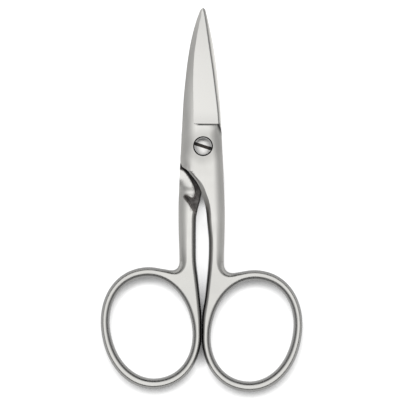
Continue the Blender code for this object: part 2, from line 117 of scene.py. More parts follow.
# %% [markdown]
# ## Outlines
#
# A half is drawn once in plan, in its own view from outside: the middle line is x = 0, the pivot
# line is y = 0, and the cutting edge and the finger bow are on the right. Each row holds x, y, the
# width of the bevelled flank there and how high it starts, all as shares of the sizes above, and
# then how round and how soft the flank is. A few rows and a smooth curve through them are easier
# to correct against a photo than hundreds of points.

# %% Outline rows of the blade and the joint
SPINE_SHARES = (
    (0.061, 1, 2, 0.13), (-0.02, 0.99, 2, 0.13), (-0.13, 0.95, 2, 0.15), (-0.305, 0.86, 1.8, 0.22),
    (-0.496, 0.728, 1.5, 0.27, 0, 0.1), (-0.663, 0.557, 1.43, 0.36, 0, 0.3),
    (-0.777, 0.386, 1.57, 0.42, 0, 0.5), (-0.867, 0.214, 1.8, 0.4, 0, 0.8),
    (-0.921, 0.043, 1.8, 0.33, 0, 1),
)
EDGE_SHARES = (
    (0.858, 0.015), (0.806, 0.129), (0.695, 0.3), (0.575, 0.47), (0.432, 0.643), (0.292, 0.814),
    (0.2, 0.92), (0.13, 0.98), (0.1, 0.996), (0.061, 1),
)
CHEEK_SHARES = (
    (-0.961, 0.296, 1.8, 0.33, 0, 1), (-0.996, -0.3, 1.65, 0.34, 0, 1),
    (-1.016, -0.61, 1.6, 0.35, 0, 1), (-0.985, -0.8, 1.5, 0.36, 0, 1),
    (-0.935, -0.97, 1.4, 0.38, 0, 1),
)
SWEEP_SHARES = (
    (-0.935, -0.97, 0.22, 0.88), (-0.86, -1.03, 0.23, 0.88), (-0.696, -1.135, 0.25, 0.87),
    (-0.514, -1.35, 0.28, 0.87), (-0.314, -1.59, 0.33, 0.85), (-0.173, -1.804, 0.42, 0.8),
    (-0.04, -2.09, 0.48, 0.72),
)
FLANK_SIDE_SHARES = (
    (1.075, -2.09, 1.4, 0.46, 0, 1), (1.04, -1.135, 1.3, 0.46, 0, 1),
    (0.992, -0.182, 1.38, 0.44, 0, 1), (0.969, 0.296, 1.52, 0.38, 0.15, 0.8),
    (0.94, 0.77, 1.6, 0.2, 0.8, 0.2), (0.902, 0.92, 1.55, 0.18, 0.95),
    (0.874, 1.01, 1.5, 0.18, 0.95),
)

# %% Outline rows of the handles, the lobe and its hook
FRONT_INNER_SHARES = (
    (0.028, -2.329, 0.52, 0.66), (0.108, -2.567, 0.54, 0.6), (0.178, -2.853, 0.55, 0.52, 0.05),
    (0.232, -3.22, 0.55, 0.38, 0.3), (0.264, -3.62, 0.55, 0.27, 0.55),
    (0.343, -4.47, 0.55, 0.22, 0.65), (0.329, -5.43, 0.55, 0.22, 0.75),
)
REAR_INNER_SHARES = (
    (0.02, -2.3, 0.5, 0.48, 0.15), (0.076, -2.61, 0.52, 0.42, 0.25),
    (0.16, -2.91, 0.54, 0.36, 0.35), (0.243, -3.29, 0.55, 0.28, 0.5),
    (0.268, -3.9, 0.55, 0.24, 0.6), (0.272, -4.7, 0.55, 0.22, 0.65),
    (0.262, -5.43, 0.55, 0.22, 0.75),
)
SHANK_OUTER_SHARES = (
    (1.055, 0.96, 0.85, 0.42, 0, 0.6), (1.065, 0.86, 0.88, 0.5, 0, 0.6),
    (1.09, 0.74, 0.94, 0.5, 0, 0.6), (1.105, 0.6, 1.1, 0.48, 0, 0.8),
    (1.095, 0.434, 1.4, 0.46, 0, 1),
)
FRONT_RUN_IN_SHARES = (
    (0.24, 0.837, 0.55, 0.22, 0.85), (0.137, 0.506, 0.55, 0.22, 1), (0.04, 0.3, 0.55, 0.22, 1),
)
REAR_RUN_IN_SHARES = (
    (0.152, 0.79, 0.55, 0.22, 0.85), (0.062, 0.47, 0.55, 0.22, 1), (0.014, 0.28, 0.55, 0.22, 1),
)
BOW_EDGE_SHARE = 0.22
LOBE_SHARES = (
    (1.2, -0.98), (0.853, -1.091), (0.63, -1.325), (0.482, -1.56), (0.343, -1.825), (0.267, -2.066),
    (0.253, -2.252), (0.305, -2.424),
)
HOOK_SHARES = (
    (0.305, -2.424), (0.396, -2.515), (0.491, -2.535), (0.592, -2.48), (0.69, -2.425),
    (0.775, -2.385), (0.79, -2.415), (0.716, -2.515), (0.577, -2.692), (0.434, -2.922),
    (0.324, -3.082), (0.23, -3.22), (0.076, -3.39),
)
LOBE_DIP_SHARES = (-1.88, -2.20, -2.42)
LOBE_FLAT_SHARES = (1.50, 2.10)

# %% [markdown]
# ## Curves through the rows
#
# Every outline is a smooth curve through its rows. Cubic pieces with matching slopes pass through
# each row and carry the flank's width and height along with them, so the bevel changes as gently
# as the outline does. The finger bows are tilted ovals, slightly squarer than an ellipse.

# %% Smooth curves and ovals
FINE_STEP = 0.35 * MM


def smooth_path(rows):
    """Rows of numbers joined by a smooth curve that passes through each of them."""
    rows = np.array(rows, dtype=float)
    chords = np.linalg.norm(np.diff(rows[:, :2], axis=0), axis=1)
    slopes = np.gradient(rows, np.concatenate([[0.0], np.cumsum(chords)]), axis=0)
    path = [rows[:1]]
    for i, chord in enumerate(chords):
        count = max(1, math.ceil(chord / FINE_STEP))
        t = (np.arange(1, count + 1) / count)[:, None]
        start = (2 * t**3 - 3 * t**2 + 1) * rows[i] + (t**3 - 2 * t**2 + t) * chord * slopes[i]
        end = (3 * t**2 - 2 * t**3) * rows[i + 1] + (t**3 - t**2) * chord * slopes[i + 1]
        path.append(start + end)
    return np.concatenate(path)


def points_in_sizes(shares, y_size, y_start=0.0):
    """Plan points in metres from a table of shares."""
    return [(x * HALF_WIDTH, y_start + y * y_size) for x, y in shares]


def rows_in_sizes(shares, y_size, y_start=0.0, x_start=0.0):
    """Outline rows in metres from a table of shares, where a left out value at the end is 0."""
    return [
        (x_start + x * HALF_WIDTH, y_start + y * y_size, width * FLANK, edge * HALF_DEPTH, *rest)
        for x, y, width, edge, *rest in ((*row, 0, 0)[:6] for row in shares)]


def oval(half_long, half_wide, tilt, angles):
    """Points of a tilted oval about its centre."""
    u, v = (np.sign(way) * np.abs(way) ** (2 / BOW_SQUARENESS) * half
            for way, half in ((np.cos(angles), half_long), (np.sin(angles), half_wide)))
    x = u * math.cos(tilt) - v * math.sin(tilt)
    y = u * math.sin(tilt) + v * math.cos(tilt)
    return np.stack([x, y], axis=1)


def with_flank(points, values):
    """Plan points with the same flank values on each."""
    return np.hstack([points, np.tile(values, (len(points), 1))])


def crotch_rows(before, start, beyond, end, radius):
    """Rows of the corner between the bow's top and the shank's side, with a fillet in it."""
    along_bow, up_shank = (
        way / np.linalg.norm(way) for way in (start[:2] - before[:2], beyond[:2] - end[:2]))
    run, _ = np.linalg.solve(np.stack([along_bow, -up_shank], axis=1), end[:2] - start[:2])
    corner = start[:2] + run * along_bow
    t = np.linspace(0, 1, CROTCH_POINTS)[:, None]
    first, last = corner - radius * along_bow, corner + radius * up_shank
    plan = (1 - t) ** 2 * first + 2 * t * (1 - t) * corner + t**2 * last
    return np.hstack([plan, (1 - t) * start[2:] + t * end[2:]])


# %% Outline of one half
def leaning(path, lean):
    """The blade's outline with its tip moved sideways."""
    along = np.clip((path[:, 1] - BLADE_START) / BLADE_LENGTH, 0, 1)
    path[:, 0] += lean * along**TIP_LEAN_POWER
    return path


def half_outline(shank_length, crotch, lean, inner_shares, run_in_shares):
    """Paths of the spine, of both sides of the handle, of the cutting edge and of the opening."""
    half_long, half_wide = BOW_OPENING_LONG / 2, BOW_OPENING_WIDE / 2
    turns = np.linspace(0, 2 * math.pi, round(2 * math.pi * half_long / FINE_STEP), endpoint=False)
    outer = oval(half_long + BOW_BAND + BOW_END_EXTRA, half_wide + BOW_BAND, BOW_TILT, turns)
    opening = oval(half_long, half_wide, OPENING_TILT, turns)
    half_height = outer[:, 1].max()
    centre = np.array([BOW_GAP / 2 - outer[:, 0].min(), -shank_length - half_height])
    bow_flank = ((BOW_BAND + BOW_END_EXTRA) / 2, BOW_EDGE_SHARE * HALF_DEPTH, 1.0, 0.0)

    blade_rows = rows_in_sizes(SPINE_SHARES, BLADE_LENGTH, BLADE_START)
    spine = leaning(smooth_path(blade_rows + rows_in_sizes(CHEEK_SHARES, HALF_WIDTH)), lean)
    edge = leaning(smooth_path(points_in_sizes(EDGE_SHARES, BLADE_LENGTH, BLADE_START)), lean)
    touching = int(outer[:, 0].argmin())
    inner_rows = rows_in_sizes(SWEEP_SHARES + inner_shares, HALF_WIDTH)
    inner_rows += rows_in_sizes(run_in_shares, half_height, centre[1], BOW_GAP / 2)
    inner_side = smooth_path([*inner_rows, (*(outer[touching] + centre), *bow_flank)])
    shank_rows = rows_in_sizes(SHANK_OUTER_SHARES, -shank_length)
    outer_side = smooth_path(shank_rows + rows_in_sizes(FLANK_SIDE_SHARES, HALF_WIDTH))

    around = np.roll(outer, -touching - 1, axis=0) + centre
    past_top = int(around[:, 1].argmax())
    leave = outer_side[0, 0] + CROTCH_REACH
    end = next(i for i in range(past_top, len(around)) if around[i, 0] < leave)
    around = with_flank(around[:end], bow_flank)
    corner = crotch_rows(around[-2], around[-1], outer_side[1], outer_side[0], crotch)
    outer_side = outer_side[outer_side[:, 1] > corner[-1, 1]]
    run = np.linalg.norm(corner[0, :2] - around[-1, :2])
    t = np.arange(1, math.ceil(run / FINE_STEP))[:, None] * FINE_STEP / run
    straight = (1 - t) * around[-1] + t * corner[0]

    inner_side = np.concatenate([inner_side, around, straight, corner[:1]])
    outer_side = np.concatenate([corner, outer_side])
    opening = with_flank(np.vstack([opening, opening[:1]]) + centre, bow_flank)
    whole = np.concatenate([inner_side, outer_side])
    for path, across, share in (
            (opening, whole, INNER_FLANK_SHARE), (inner_side, opening, OUTER_FLANK_SHARE),
            (outer_side, opening, OUTER_FLANK_SHARE)):
        path[:, 2] = np.minimum(path[:, 2], nearest(path[:, :2], across)[0] * share)
    return spine, inner_side, outer_side, edge, opening, centre


# %% [markdown]
# ## Heights
#
# A forged half is thin and nearly flat, so its two faces are height fields over the plan: how high
# the metal stands depends on how far a point is from the nearest outline. Near an outline the
# flank rises, further in the face is flat, and on the blade the ground face cuts under both. This
# gives the true crease lines, which a subdivided box would blur.

# %% Distances in plan
LEAST_SQUARE = 1e-18
BLOCK = 3000
FAR = 4 * HALF_WIDTH


def search_tree(points):
    """A tree that finds the nearest of some plan points."""
    tree = kdtree.KDTree(len(points))
    for i, (x, y) in enumerate(points):
        tree.insert((x, y, 0), i)
    tree.balance()
    return tree


def nearest(points, path):
    """Distance from each point to a path, and the path's further values at that place."""
    tree = search_tree(path[:, :2].tolist())
    middle = np.array([tree.find((x, y, 0))[1] for x, y in points.tolist()], dtype=int)
    best, values = np.full(len(points), np.inf), np.zeros((len(points), path.shape[1] - 2))
    for side in (-1, 0):
        i = np.clip(middle + side, 0, len(path) - 2)
        step = path[i + 1, :2] - path[i, :2]
        offset = points - path[i, :2]
        square = np.maximum((step * step).sum(axis=1), LEAST_SQUARE)
        share = np.clip((offset * step).sum(axis=1) / square, 0, 1)[:, None]
        distance = np.linalg.norm(offset - share * step, axis=1)
        closer = distance < best
        best[closer] = distance[closer]
        here = (1 - share) * path[i, 2:] + share * path[i + 1, 2:]
        values[closer] = here[closer]
    return best, values


def inside(points, polygon):
    """Whether each point lies inside a polygon."""
    x0, y0 = polygon.T
    x1, y1 = np.roll(x0, -1), np.roll(y0, -1)
    rise = np.where(y1 == y0, 1.0, y1 - y0)
    answers = []
    for block in np.array_split(points, max(1, len(points) // BLOCK)):
        x, y = block[:, 0, None], block[:, 1, None]
        crosses = (y0 > y) != (y1 > y)
        reach = x0 + (y - y0) * (x1 - x0) / rise
        answers.append((crosses & (x < reach)).sum(axis=1) % 2 == 1)
    return np.concatenate(answers)


class Plan:
    """The plan of one half, from what half_outline takes: outlines, creases and distances."""

    def __init__(self, *values):
        spine, self.inner_side, self.outer_side, self.edge, self.opening, self.bow_centre = (
            half_outline(*values))
        self.flanks = spine, self.inner_side, self.outer_side, self.opening
        self.outline = np.concatenate([
            spine[:-1, :2], self.inner_side[:-1, :2], self.outer_side[:, :2], self.edge[:-1]])
        lobe, hook = (smooth_path(points_in_sizes(shares, HALF_WIDTH))
                      for shares in (LOBE_SHARES, HOOK_SHARES))
        self.shoulder = np.concatenate([lobe, hook[1:]])
        self.seat_area = np.concatenate([self.shoulder, [(-FAR, -FAR), (-FAR, FAR), (FAR, FAR)]])

    def flank_heights(self, points):
        """Height each flank allows at each point, one row per flank."""
        return np.array([flank_height(*nearest(points, flank)) for flank in self.flanks])

    def clearance(self, points):
        """Distance to the nearest outline."""
        return np.min([nearest(points, path)[0] for path in (*self.flanks, self.edge)], axis=0)

    def shoulder_distance(self, points):
        """Distance from the shoulder line, positive on the full-thick side."""
        distance, _ = nearest(points, self.shoulder)
        seat = inside(points, self.seat_area) | (points[:, 1] > 0)
        return np.where(seat, -distance, distance)

    def holds(self, points):
        """Whether each point is on the metal."""
        return inside(points, self.outline) & ~inside(points, self.opening[:-1, :2])


# %% Height functions
def ramp(values, start, end):
    """A smooth step from 0 at start to 1 at end, which may be the lower of the two."""
    t = np.clip((values - start) / (end - start), 0, 1)
    return t * t * (3 - 2 * t)


def flank_height(distance, values):
    """Height of an outer face, which rises from its edge height over the flank."""
    width, edge, roundness, softness = values.T
    t = np.clip(distance / width, 0, 1)
    swell = (1 - (1 - t) ** (1 + roundness)) ** (1 - roundness / 2)
    soft = 2 * t - t**2
    return edge + (HALF_DEPTH - edge) * (swell + (soft - swell) * softness)


def ground_height(plan, points):
    """Height of the ground face, which slopes down to the honed facet and the cutting edge."""
    to_edge, _ = nearest(points, plan.edge)
    facet = HONED_EDGE + HONED_SLOPE * to_edge
    return PARTING_GAP / 2 + np.minimum(facet, EDGE_THICKNESS + GRIND_SLOPE * to_edge)


def outer_height(plan, points):
    """Height of the outer face above the parting plane."""
    face = plan.flank_heights(points).min(axis=0)
    wall = HALF_DEPTH * np.clip((GROUND_START - points[:, 1]) / STEP_RUN, 0, 1)
    return np.minimum(face, ground_height(plan, points) + wall)


def inner_height(plan, points):
    """Height of the inner face above the parting plane, below it where the handle is full-thick."""
    y = points[:, 1]
    blade = ramp(y, BLADE_START, BLADE_START + HOLLOW_WIDTH)
    seat = PARTING_GAP / 2 + HOLLOW * blade * ramp(plan.clearance(points), 0, HOLLOW_WIDTH)
    start, low, end = (share * HALF_WIDTH for share in LOBE_DIP_SHARES)
    dip = LOBE_SINK * np.minimum(ramp(y, start, low), ramp(y, end, low))
    flank = ramp(-y / HALF_WIDTH, *LOBE_FLAT_SHARES)
    handle = dip - HALF_DEPTH + (HALF_DEPTH - plan.flank_heights(points).min(axis=0)) * flank
    share = ramp(plan.shoulder_distance(points), 0, SHOULDER_RUN)
    return seat + (np.minimum(handle, seat) - seat) * share


# %% [markdown]
# ## Fine sheets
#
# Each face becomes a triangle mesh. Rings of points follow the flanks, lines of points follow the
# creases, and a loose honeycomb fills the flats. A constrained triangulation joins them and keeps
# every crease as an edge. A plain grid would leave saw teeth along the creases.

# %% Points in plan
FLANK_RING_SHARES = (0.05, 0.12, 0.2, 0.3, 0.42, 0.55, 0.7, 0.85, 1.0)
CREASE_MARGIN = 0.12 * MM
LEVEL_MARGIN = CREASE_MARGIN / 10
RING_KEPT_SHARE = 0.93
GRID_STEP = 1.5 * FINE_STEP
HONEYCOMB_ROW = math.sqrt(0.75)
HOLE_SIDES = 96
CDT_MERGE = 1e-5


def offset_line(line, distance):
    """A line moved sideways, to its left for a positive distance or row of distances."""
    way = np.gradient(line, axis=0)
    way /= np.linalg.norm(way, axis=1)[:, None]
    return line + np.reshape(distance, (-1, 1)) * np.stack([-way[:, 1], way[:, 0]], axis=1)


class Points:
    """Plan points and the edges that join them, none too close to another."""

    def __init__(self):
        self.points = []
        self.edges = []

    def add_line(self, line, keep, least_gap, joined=True):
        """Adds a line's kept points, joined where neighbours are both kept."""
        tree = search_tree(self.points)
        before = None
        for point, kept in zip(line, keep):
            if not kept or tree.find((*point, 0))[2] <= least_gap:
                before = None
                continue
            self.points.append(tuple(point))
            if joined and before is not None:
                self.edges.append((before, len(self.points) - 1))
            before = len(self.points) - 1

    def add_loop(self, loop):
        """Adds a closed outline."""
        first, count = len(self.points), len(loop)
        self.points.extend(tuple(point) for point in loop)
        self.edges.extend((first + i, first + (i + 1) % count) for i in range(count))


def sheet(plan, hole, creases):
    """Plan vertices, triangles and outline loops of one face, with a round hole left open."""
    work = Points()
    loops = plan.outline, plan.opening[:-1, :2], hole
    for loop in loops:
        work.add_loop(loop)

    def on_metal(points):
        return plan.holds(points) & ~inside(points, hole)

    for line in creases:
        keep = on_metal(line) & (plan.clearance(line) > CREASE_MARGIN)
        work.add_line(line, keep, CREASE_MARGIN)
    for share in FLANK_RING_SHARES:
        for i, flank in enumerate(plan.flanks):
            side = -1 if flank is plan.opening else 1
            ring = offset_line(flank[:, :2], side * share * flank[:, 2])
            heights = plan.flank_heights(ring)
            lowest = heights[i] <= heights.min(axis=0) + LEVEL_MARGIN
            near = nearest(ring, flank)[0] > RING_KEPT_SHARE * share * flank[:, 2]
            work.add_line(ring, on_metal(ring) & lowest & near, CREASE_MARGIN)

    low, high = plan.outline.min(axis=0), plan.outline.max(axis=0)
    columns = np.arange(low[0], high[0], GRID_STEP)
    rows = np.arange(low[1], high[1], GRID_STEP * HONEYCOMB_ROW)
    grid = np.array([(x + (j % 2) * GRID_STEP / 2, y) for j, y in enumerate(rows) for x in columns])
    grid = grid[on_metal(grid)]
    on_flank = plan.flank_heights(grid).min(axis=0) < HALF_DEPTH
    grid = grid[~(on_flank & (grid[:, 1] < BLADE_START)) & (plan.clearance(grid) > GRID_STEP / 2)]
    work.add_line(grid, [True] * len(grid), GRID_STEP / 2, joined=False)

    flat = [Vector((x / MM, y / MM)) for x, y in work.points]
    vertices, _, faces, sources, _, _ = geometry.delaunay_2d_cdt(flat, work.edges, [], 1, CDT_MERGE)
    vertices = np.array([(v.x, v.y) for v in vertices]) * MM
    faces = np.array(faces)
    placed = {source: i for i, merged in enumerate(sources) for source in merged}
    numbers = iter(range(len(flat)))
    placed_loops = [[placed[next(numbers)] for _ in loop] for loop in loops]
    return vertices, faces[on_metal(vertices[faces].mean(axis=1))], placed_loops


# %% Creases of the two faces
SHOULDER_LINE_SHARES = (-0.05, 0.5, 1.0)
RIDGE_STEP = FINE_STEP / 10


def blade_ridge(plan):
    """The line where the spine's bevel meets the ground face."""
    ridge = []
    for y in np.arange(GROUND_START, BLADE_START + BLADE_LENGTH, FINE_STEP):
        x = np.arange(-HALF_WIDTH, HALF_WIDTH, RIDGE_STEP)
        points = np.stack([x, np.full(len(x), y)], axis=1)
        points = points[plan.holds(points)]
        if len(points):
            bevel = plan.flank_heights(points).min(axis=0)
            ridge.append(points[int(np.minimum(bevel, ground_height(plan, points)).argmax())])
    return np.array(ridge)


def outer_creases(plan):
    """The ridge of the blade, the honed facet's upper edge and the two edges of the step."""
    across = np.arange(-HALF_WIDTH, HALF_WIDTH, FINE_STEP)
    step_top = np.stack([across, np.full(len(across), BLADE_START)], axis=1)
    facet = (EDGE_THICKNESS - HONED_EDGE) / (HONED_SLOPE - GRIND_SLOPE)
    return blade_ridge(plan), offset_line(plan.edge, facet), step_top, step_top + (0, STEP_RUN)


def inner_creases(plan):
    """The foot, the middle and the top of the shoulder's wall."""
    return [offset_line(plan.shoulder, share * SHOULDER_RUN) for share in SHOULDER_LINE_SHARES]


# %% [markdown]
# ## The two halves
#
# A half is its outer sheet, its inner sheet and the walls between them. The front half has a
# counterbore: a wide shallow recess for the screw's head with a narrower hole through its floor.
# Each corner also keeps the height field's true normal, so that reflections run smoothly up to a
# crease and break there. For the materials it keeps what kind of surface it is on, such as the
# ground blade face, the dark skin in the hook's recess or a steep wall, and where shade is painted
# into the colour, such as in the step's crease or where the other half lies close over it.

# %% Kinds of surface at each corner
KINDS = ("ground", "skin", "painted_shade", "inner_side", "bow_wall", "painted_shade_marks", "wall")
# Steep slopes are painted darker as painted shade, standing in for the darker room and floor they
# mirror; the honed facet at the cutting edge counts as steep.
WALL_STEEP = 0.4
WALL_FLAT = 0.82
CORNER_INSET = 0.25
SLOPE_STEP = 0.004 * MM
INNER_GROUND = 0.25
# Painted shadow: the rear half is darkened where the front half's inner side and cutting edge lie
# close over it.
PAINTED_SHADE_REACH = 0.55 * MM
EDGE_PAINTED_SHADE = 0.5
HOOK_FROM_SHARE, HOOK_TO_SHARE = 0.85, 3.6
HOOK_WALL_SHARES = (2.1, 2.35)
SKIN_END_SHARES = (1.7, 0.7)
# Painted shade on the inner sides of the lower shanks, which face each other across a narrow gap.
INNER_REACH = 0.35 * MM
INNER_SIDE_SHARES = (2.75, 3.25)
# The wall of each bow's opening is darker, and the outer wall near the bow's top is painted darker
# as painted shade.
BOW_TOP_SHARE = 0.66
BOW_TOP_FADE = 1.5 * MM
OPENING_WALL_SHARES = (0.8, 0.55)
OUTER_WALL_SHARES = (0.7, 0.35)
# Painted shade marks: a dark line in the crease of the step where the ground face starts, a dark
# wedge on the steep flank below the step's right end (the notch), and a darker ground face just
# past the step (the root).
STEP_LINE_SHADE = 0.87
STEP_LINE_LEVEL = -0.22 * MM
STEP_LINE_REACH = 0.3 * MM
STEP_LINE_LEFT = (-1.6 * MM, -0.6 * MM)
NOTCH_SIDE = (0.85 * MM, 0.35 * MM)
NOTCH_RISE = (-3.2 * MM, -0.8 * MM)
ROOT = 0.1
ROOT_REACH = 3.2 * MM
# Painted shade: a thin dark line a little inside the front half's S-curve, along the top of its
# bevel.
DARK_LINE_SHADE = 0.75
DARK_LINE_INSET = 0.42 * MM
DARK_LINE_REACH = 0.18 * MM
DARK_LINE_SHARES = (2.05, 1.55)


def surface_kinds(plan, points, inner, other):
    """Shares of each kind of surface but the walls, in the order of KINDS."""
    x, y = points.T
    down = -y / HALF_WIDTH
    past_step = y - GROUND_START
    ground = past_step > 0
    to_inner, inner_values = nearest(points, plan.inner_side)
    to_opening, opening_values = nearest(points, plan.opening)
    # Painted shade on the inner side of the shank.
    side = ramp(to_inner, INNER_REACH, 0) * ramp(down, *INNER_SIDE_SHARES)
    bow_top = plan.bow_centre[1] + BOW_TOP_SHARE * BOW_OPENING_LONG
    # Darker opening wall, and painted shade on the outer wall near the bow's top.
    bow_wall = np.maximum(
        ramp(to_opening / opening_values[:, 0], *OPENING_WALL_SHARES),
        ramp(y, bow_top, bow_top - BOW_TOP_FADE)
        * ramp(to_inner / inner_values[:, 0], *OUTER_WALL_SHARES))
    skin, painted_shade, painted_shade_marks = np.zeros((3, len(points)))
    if inner:
        from_shoulder = plan.shoulder_distance(points) / SHOULDER_RUN
        near_hook = (down > HOOK_FROM_SHARE) & (down < HOOK_TO_SHARE)
        skin = near_hook * ramp(from_shoulder, *SKIN_END_SHARES)
        # Painted shadow of the front half on the rear half, and along the skin near the rear's own
        # inner side.
        if other is not None:
            mirrored = points * (-1, 1)
            painted_shade, edge_painted_shade = (
                ramp(nearest(mirrored, path)[0], PAINTED_SHADE_REACH, 0)
                for path in (other.inner_side, other.edge))
            painted_shade = np.where(y > BLADE_START, EDGE_PAINTED_SHADE * edge_painted_shade, painted_shade)
            painted_shade = np.maximum(painted_shade, skin * ramp(to_inner, PAINTED_SHADE_REACH, 0))
    else:
        ground &= ground_height(plan, points) < plan.flank_heights(points).min(axis=0)
        # Painted shade in the step's crease, on the notch's steep flank and on the ground just past
        # the step.
        painted_shade_marks = ramp(np.abs(past_step - STEP_LINE_LEVEL), STEP_LINE_REACH, 0)
        painted_shade_marks *= STEP_LINE_SHADE * ramp(x, *STEP_LINE_LEFT)
        notch = ramp(nearest(points, plan.outer_side)[0], *NOTCH_SIDE)
        notch *= ramp(past_step, *NOTCH_RISE)
        root = ROOT * ground * ramp(past_step, ROOT_REACH, 0)
        # The painted dark line along the top of the S-curve's bevel.
        dark_line = ramp(np.abs(to_inner - DARK_LINE_INSET), DARK_LINE_REACH, 0)
        dark_line *= DARK_LINE_SHADE * ramp(down, *DARK_LINE_SHARES) * (down > 1)
        painted_shade_marks = np.max([painted_shade_marks, np.where(past_step > 0, root, notch), dark_line], axis=0)
    ground = ground * (INNER_GROUND if inner else 1.0)
    return np.stack([ground, skin, painted_shade, side, bow_wall, painted_shade_marks], axis=1)


def corner_values(plan, corners, inner, facing, other):
    """True normal and kinds at each face corner, read a little inside the face."""
    centre = corners.mean(axis=1, keepdims=True)
    points = (corners + CORNER_INSET * (centre - corners)).reshape(-1, 2)
    height = inner_height if inner else outer_height
    level = height(plan, points)
    slope_x, slope_y = ((height(plan, points + step) - level) / SLOPE_STEP
                        for step in ((SLOPE_STEP, 0), (0, SLOPE_STEP)))
    along = np.maximum(points[:, 1] - BLADE_START, 0) / BLADE_LENGTH
    slope_y = facing * slope_y + 2 * BLADE_RISE * along / BLADE_LENGTH
    normal = np.stack([-slope_x, -slope_y, np.ones(len(points))], axis=1)
    normal /= np.linalg.norm(normal, axis=1)[:, None]
    # Share of painted shade on steep slopes and on the honed facet.
    steep = ramp(normal[:, 2:], WALL_FLAT, WALL_STEEP)
    steep[(points[:, 1] > GROUND_START) & (normal[:, 0] > HONED_SLOPE / 2)] = 1
    if inner:
        on_shoulder = np.abs(plan.shoulder_distance(points)) < 2 * SHOULDER_RUN
        steep[on_shoulder, 0] *= ramp(-points[on_shoulder, 1] / HALF_WIDTH, *HOOK_WALL_SHARES)
    kinds = np.hstack([surface_kinds(plan, points, inner, other), steep])
    return normal * (-facing if inner else facing), kinds


# %% Build one flat half
BORE_RADIUS = 1.36 * MM
RECESS_RADIUS = 2.32 * MM
RECESS_FLOOR = 0.9 * MM
RECESS_MARGIN_SHARE = 1.01


def build_half(name, plan, facing, deep_recess, other=None):
    """A half whose blade is still flat, in its place in the frame."""
    def placed(points, level):
        x = middle_x + facing * points[:, 0]
        return np.stack([x, pivot[1] + points[:, 1], HALF_DEPTH + facing * level], axis=1)

    def circle(radius):
        turns = np.linspace(0, 2 * math.pi, HOLE_SIDES, endpoint=False)
        ring = radius * np.stack([np.cos(turns), np.sin(turns)], axis=1) + (PIVOT_OFFSET, 0)
        return (ring * (facing, 1))[::facing]

    outer_hole = circle(RECESS_RADIUS if deep_recess else BORE_RADIUS)
    outer_plan, outer_faces, outer_loops = sheet(plan, outer_hole, outer_creases(plan))
    inner_plan, inner_faces, inner_loops = sheet(plan, circle(BORE_RADIUS), inner_creases(plan))
    corners = [placed(outer_plan, outer_height(plan, outer_plan)),
               placed(inner_plan, inner_height(plan, inner_plan))]
    count = len(outer_plan)
    faces = outer_faces.tolist() + (inner_faces[:, ::-1] + count).tolist()
    chains = [[o, [i + count for i in n]] for o, n in zip(outer_loops, inner_loops)]
    if deep_recess:
        for radius in (RECESS_RADIUS, BORE_RADIUS):
            first = sum(map(len, corners))
            corners.append(placed(circle(radius), np.full(HOLE_SIDES, HALF_DEPTH - RECESS_FLOOR)))
            chains[2].insert(-1, list(range(first, first + HOLE_SIDES)))
    for chain in chains:
        for upper, lower in zip(chain, chain[1:]):
            pairs = list(zip(upper, lower))
            for (top, bottom), (next_top, next_bottom) in zip(pairs, pairs[1:] + pairs[:1]):
                faces += [next_top, top, bottom], [next_top, bottom, next_bottom]

    mesh = bpy.data.meshes.new(name)
    mesh.from_pydata(np.concatenate(corners).tolist(), [], faces)
    work = bmesh.new()
    work.from_mesh(mesh)
    bmesh.ops.recalc_face_normals(work, faces=work.faces)
    work.to_mesh(mesh)
    work.free()

    order = np.empty(len(mesh.loops), dtype=int)
    mesh.loops.foreach_get("vertex_index", order)
    order = order.reshape(-1, 3)
    split, both = len(outer_faces), len(outer_faces) + len(inner_faces)
    plan_points = np.concatenate([outer_plan, inner_plan])
    outer = corner_values(plan, plan_points[order[:split]], False, facing, other)
    inner = corner_values(plan, plan_points[order[split:both]], True, facing, other)
    on_walls = order[both:].ravel()
    from_pivot = plan_points[on_walls.clip(max=len(plan_points) - 1)] - (facing * PIVOT_OFFSET, 0)
    in_bore = np.linalg.norm(from_pivot, axis=1) < RECESS_RADIUS * RECESS_MARGIN_SHARE
    in_bore |= on_walls >= len(plan_points)
    wall_kinds = np.tile([kind == "wall" for kind in KINDS], (len(on_walls), 1)).astype(float)
    # The bore's walls get the skin mask and full painted shade, standing in for the shade inside
    # the hole.
    for kind in ("skin", "painted_shade"):
        wall_kinds[in_bore, KINDS.index(kind)] = 1
    kinds = np.concatenate([outer[1], inner[1], wall_kinds]).astype(np.float32)
    for kind, values in zip(KINDS, kinds.T):
        mesh.attributes.new(kind, "FLOAT", "CORNER").data.foreach_set("value", values.copy())
    normals = np.concatenate([outer[0], inner[0], np.zeros((len(on_walls), 3))])
    true_normal = mesh.attributes.new("true_normal", "FLOAT_VECTOR", "CORNER")
    true_normal.data.foreach_set("vector", normals.astype(np.float32).ravel())
    print(name, "triangles:", len(mesh.polygons))
    return add_object(name, mesh)


front_plan = Plan(
    SHANK_LENGTH + FRONT_EXTRA, FRONT_CROTCH, 0, FRONT_INNER_SHARES, FRONT_RUN_IN_SHARES)
rear_plan = Plan(
    SHANK_LENGTH, REAR_CROTCH, -2 * TIP_LEAN, REAR_INNER_SHARES, REAR_RUN_IN_SHARES)
flat_front = build_half("flat_front", front_plan, 1, True)
flat_rear = build_half("flat_rear", rear_plan, -1, False, front_plan)

# %% [markdown]
# ## Shared finishes
#
# Satin steel is never one flat colour. A belt leaves fine streaks along the piece, and handling
# leaves cloudy patches where the shine is duller. One shader group makes the streaks and one the
# clouds, and each material places them with its own values. The streaks run along the blade and
# the shank, and below the level called Bow top they bend round the middle of a finger bow.

# %% Short calls for node trees
MIX_SOCKETS = {"FLOAT": (2, 3, 0), "VECTOR": (4, 5, 1), "RGBA": (6, 7, 2)}
BUMP_HEIGHT = 0.02 * MM


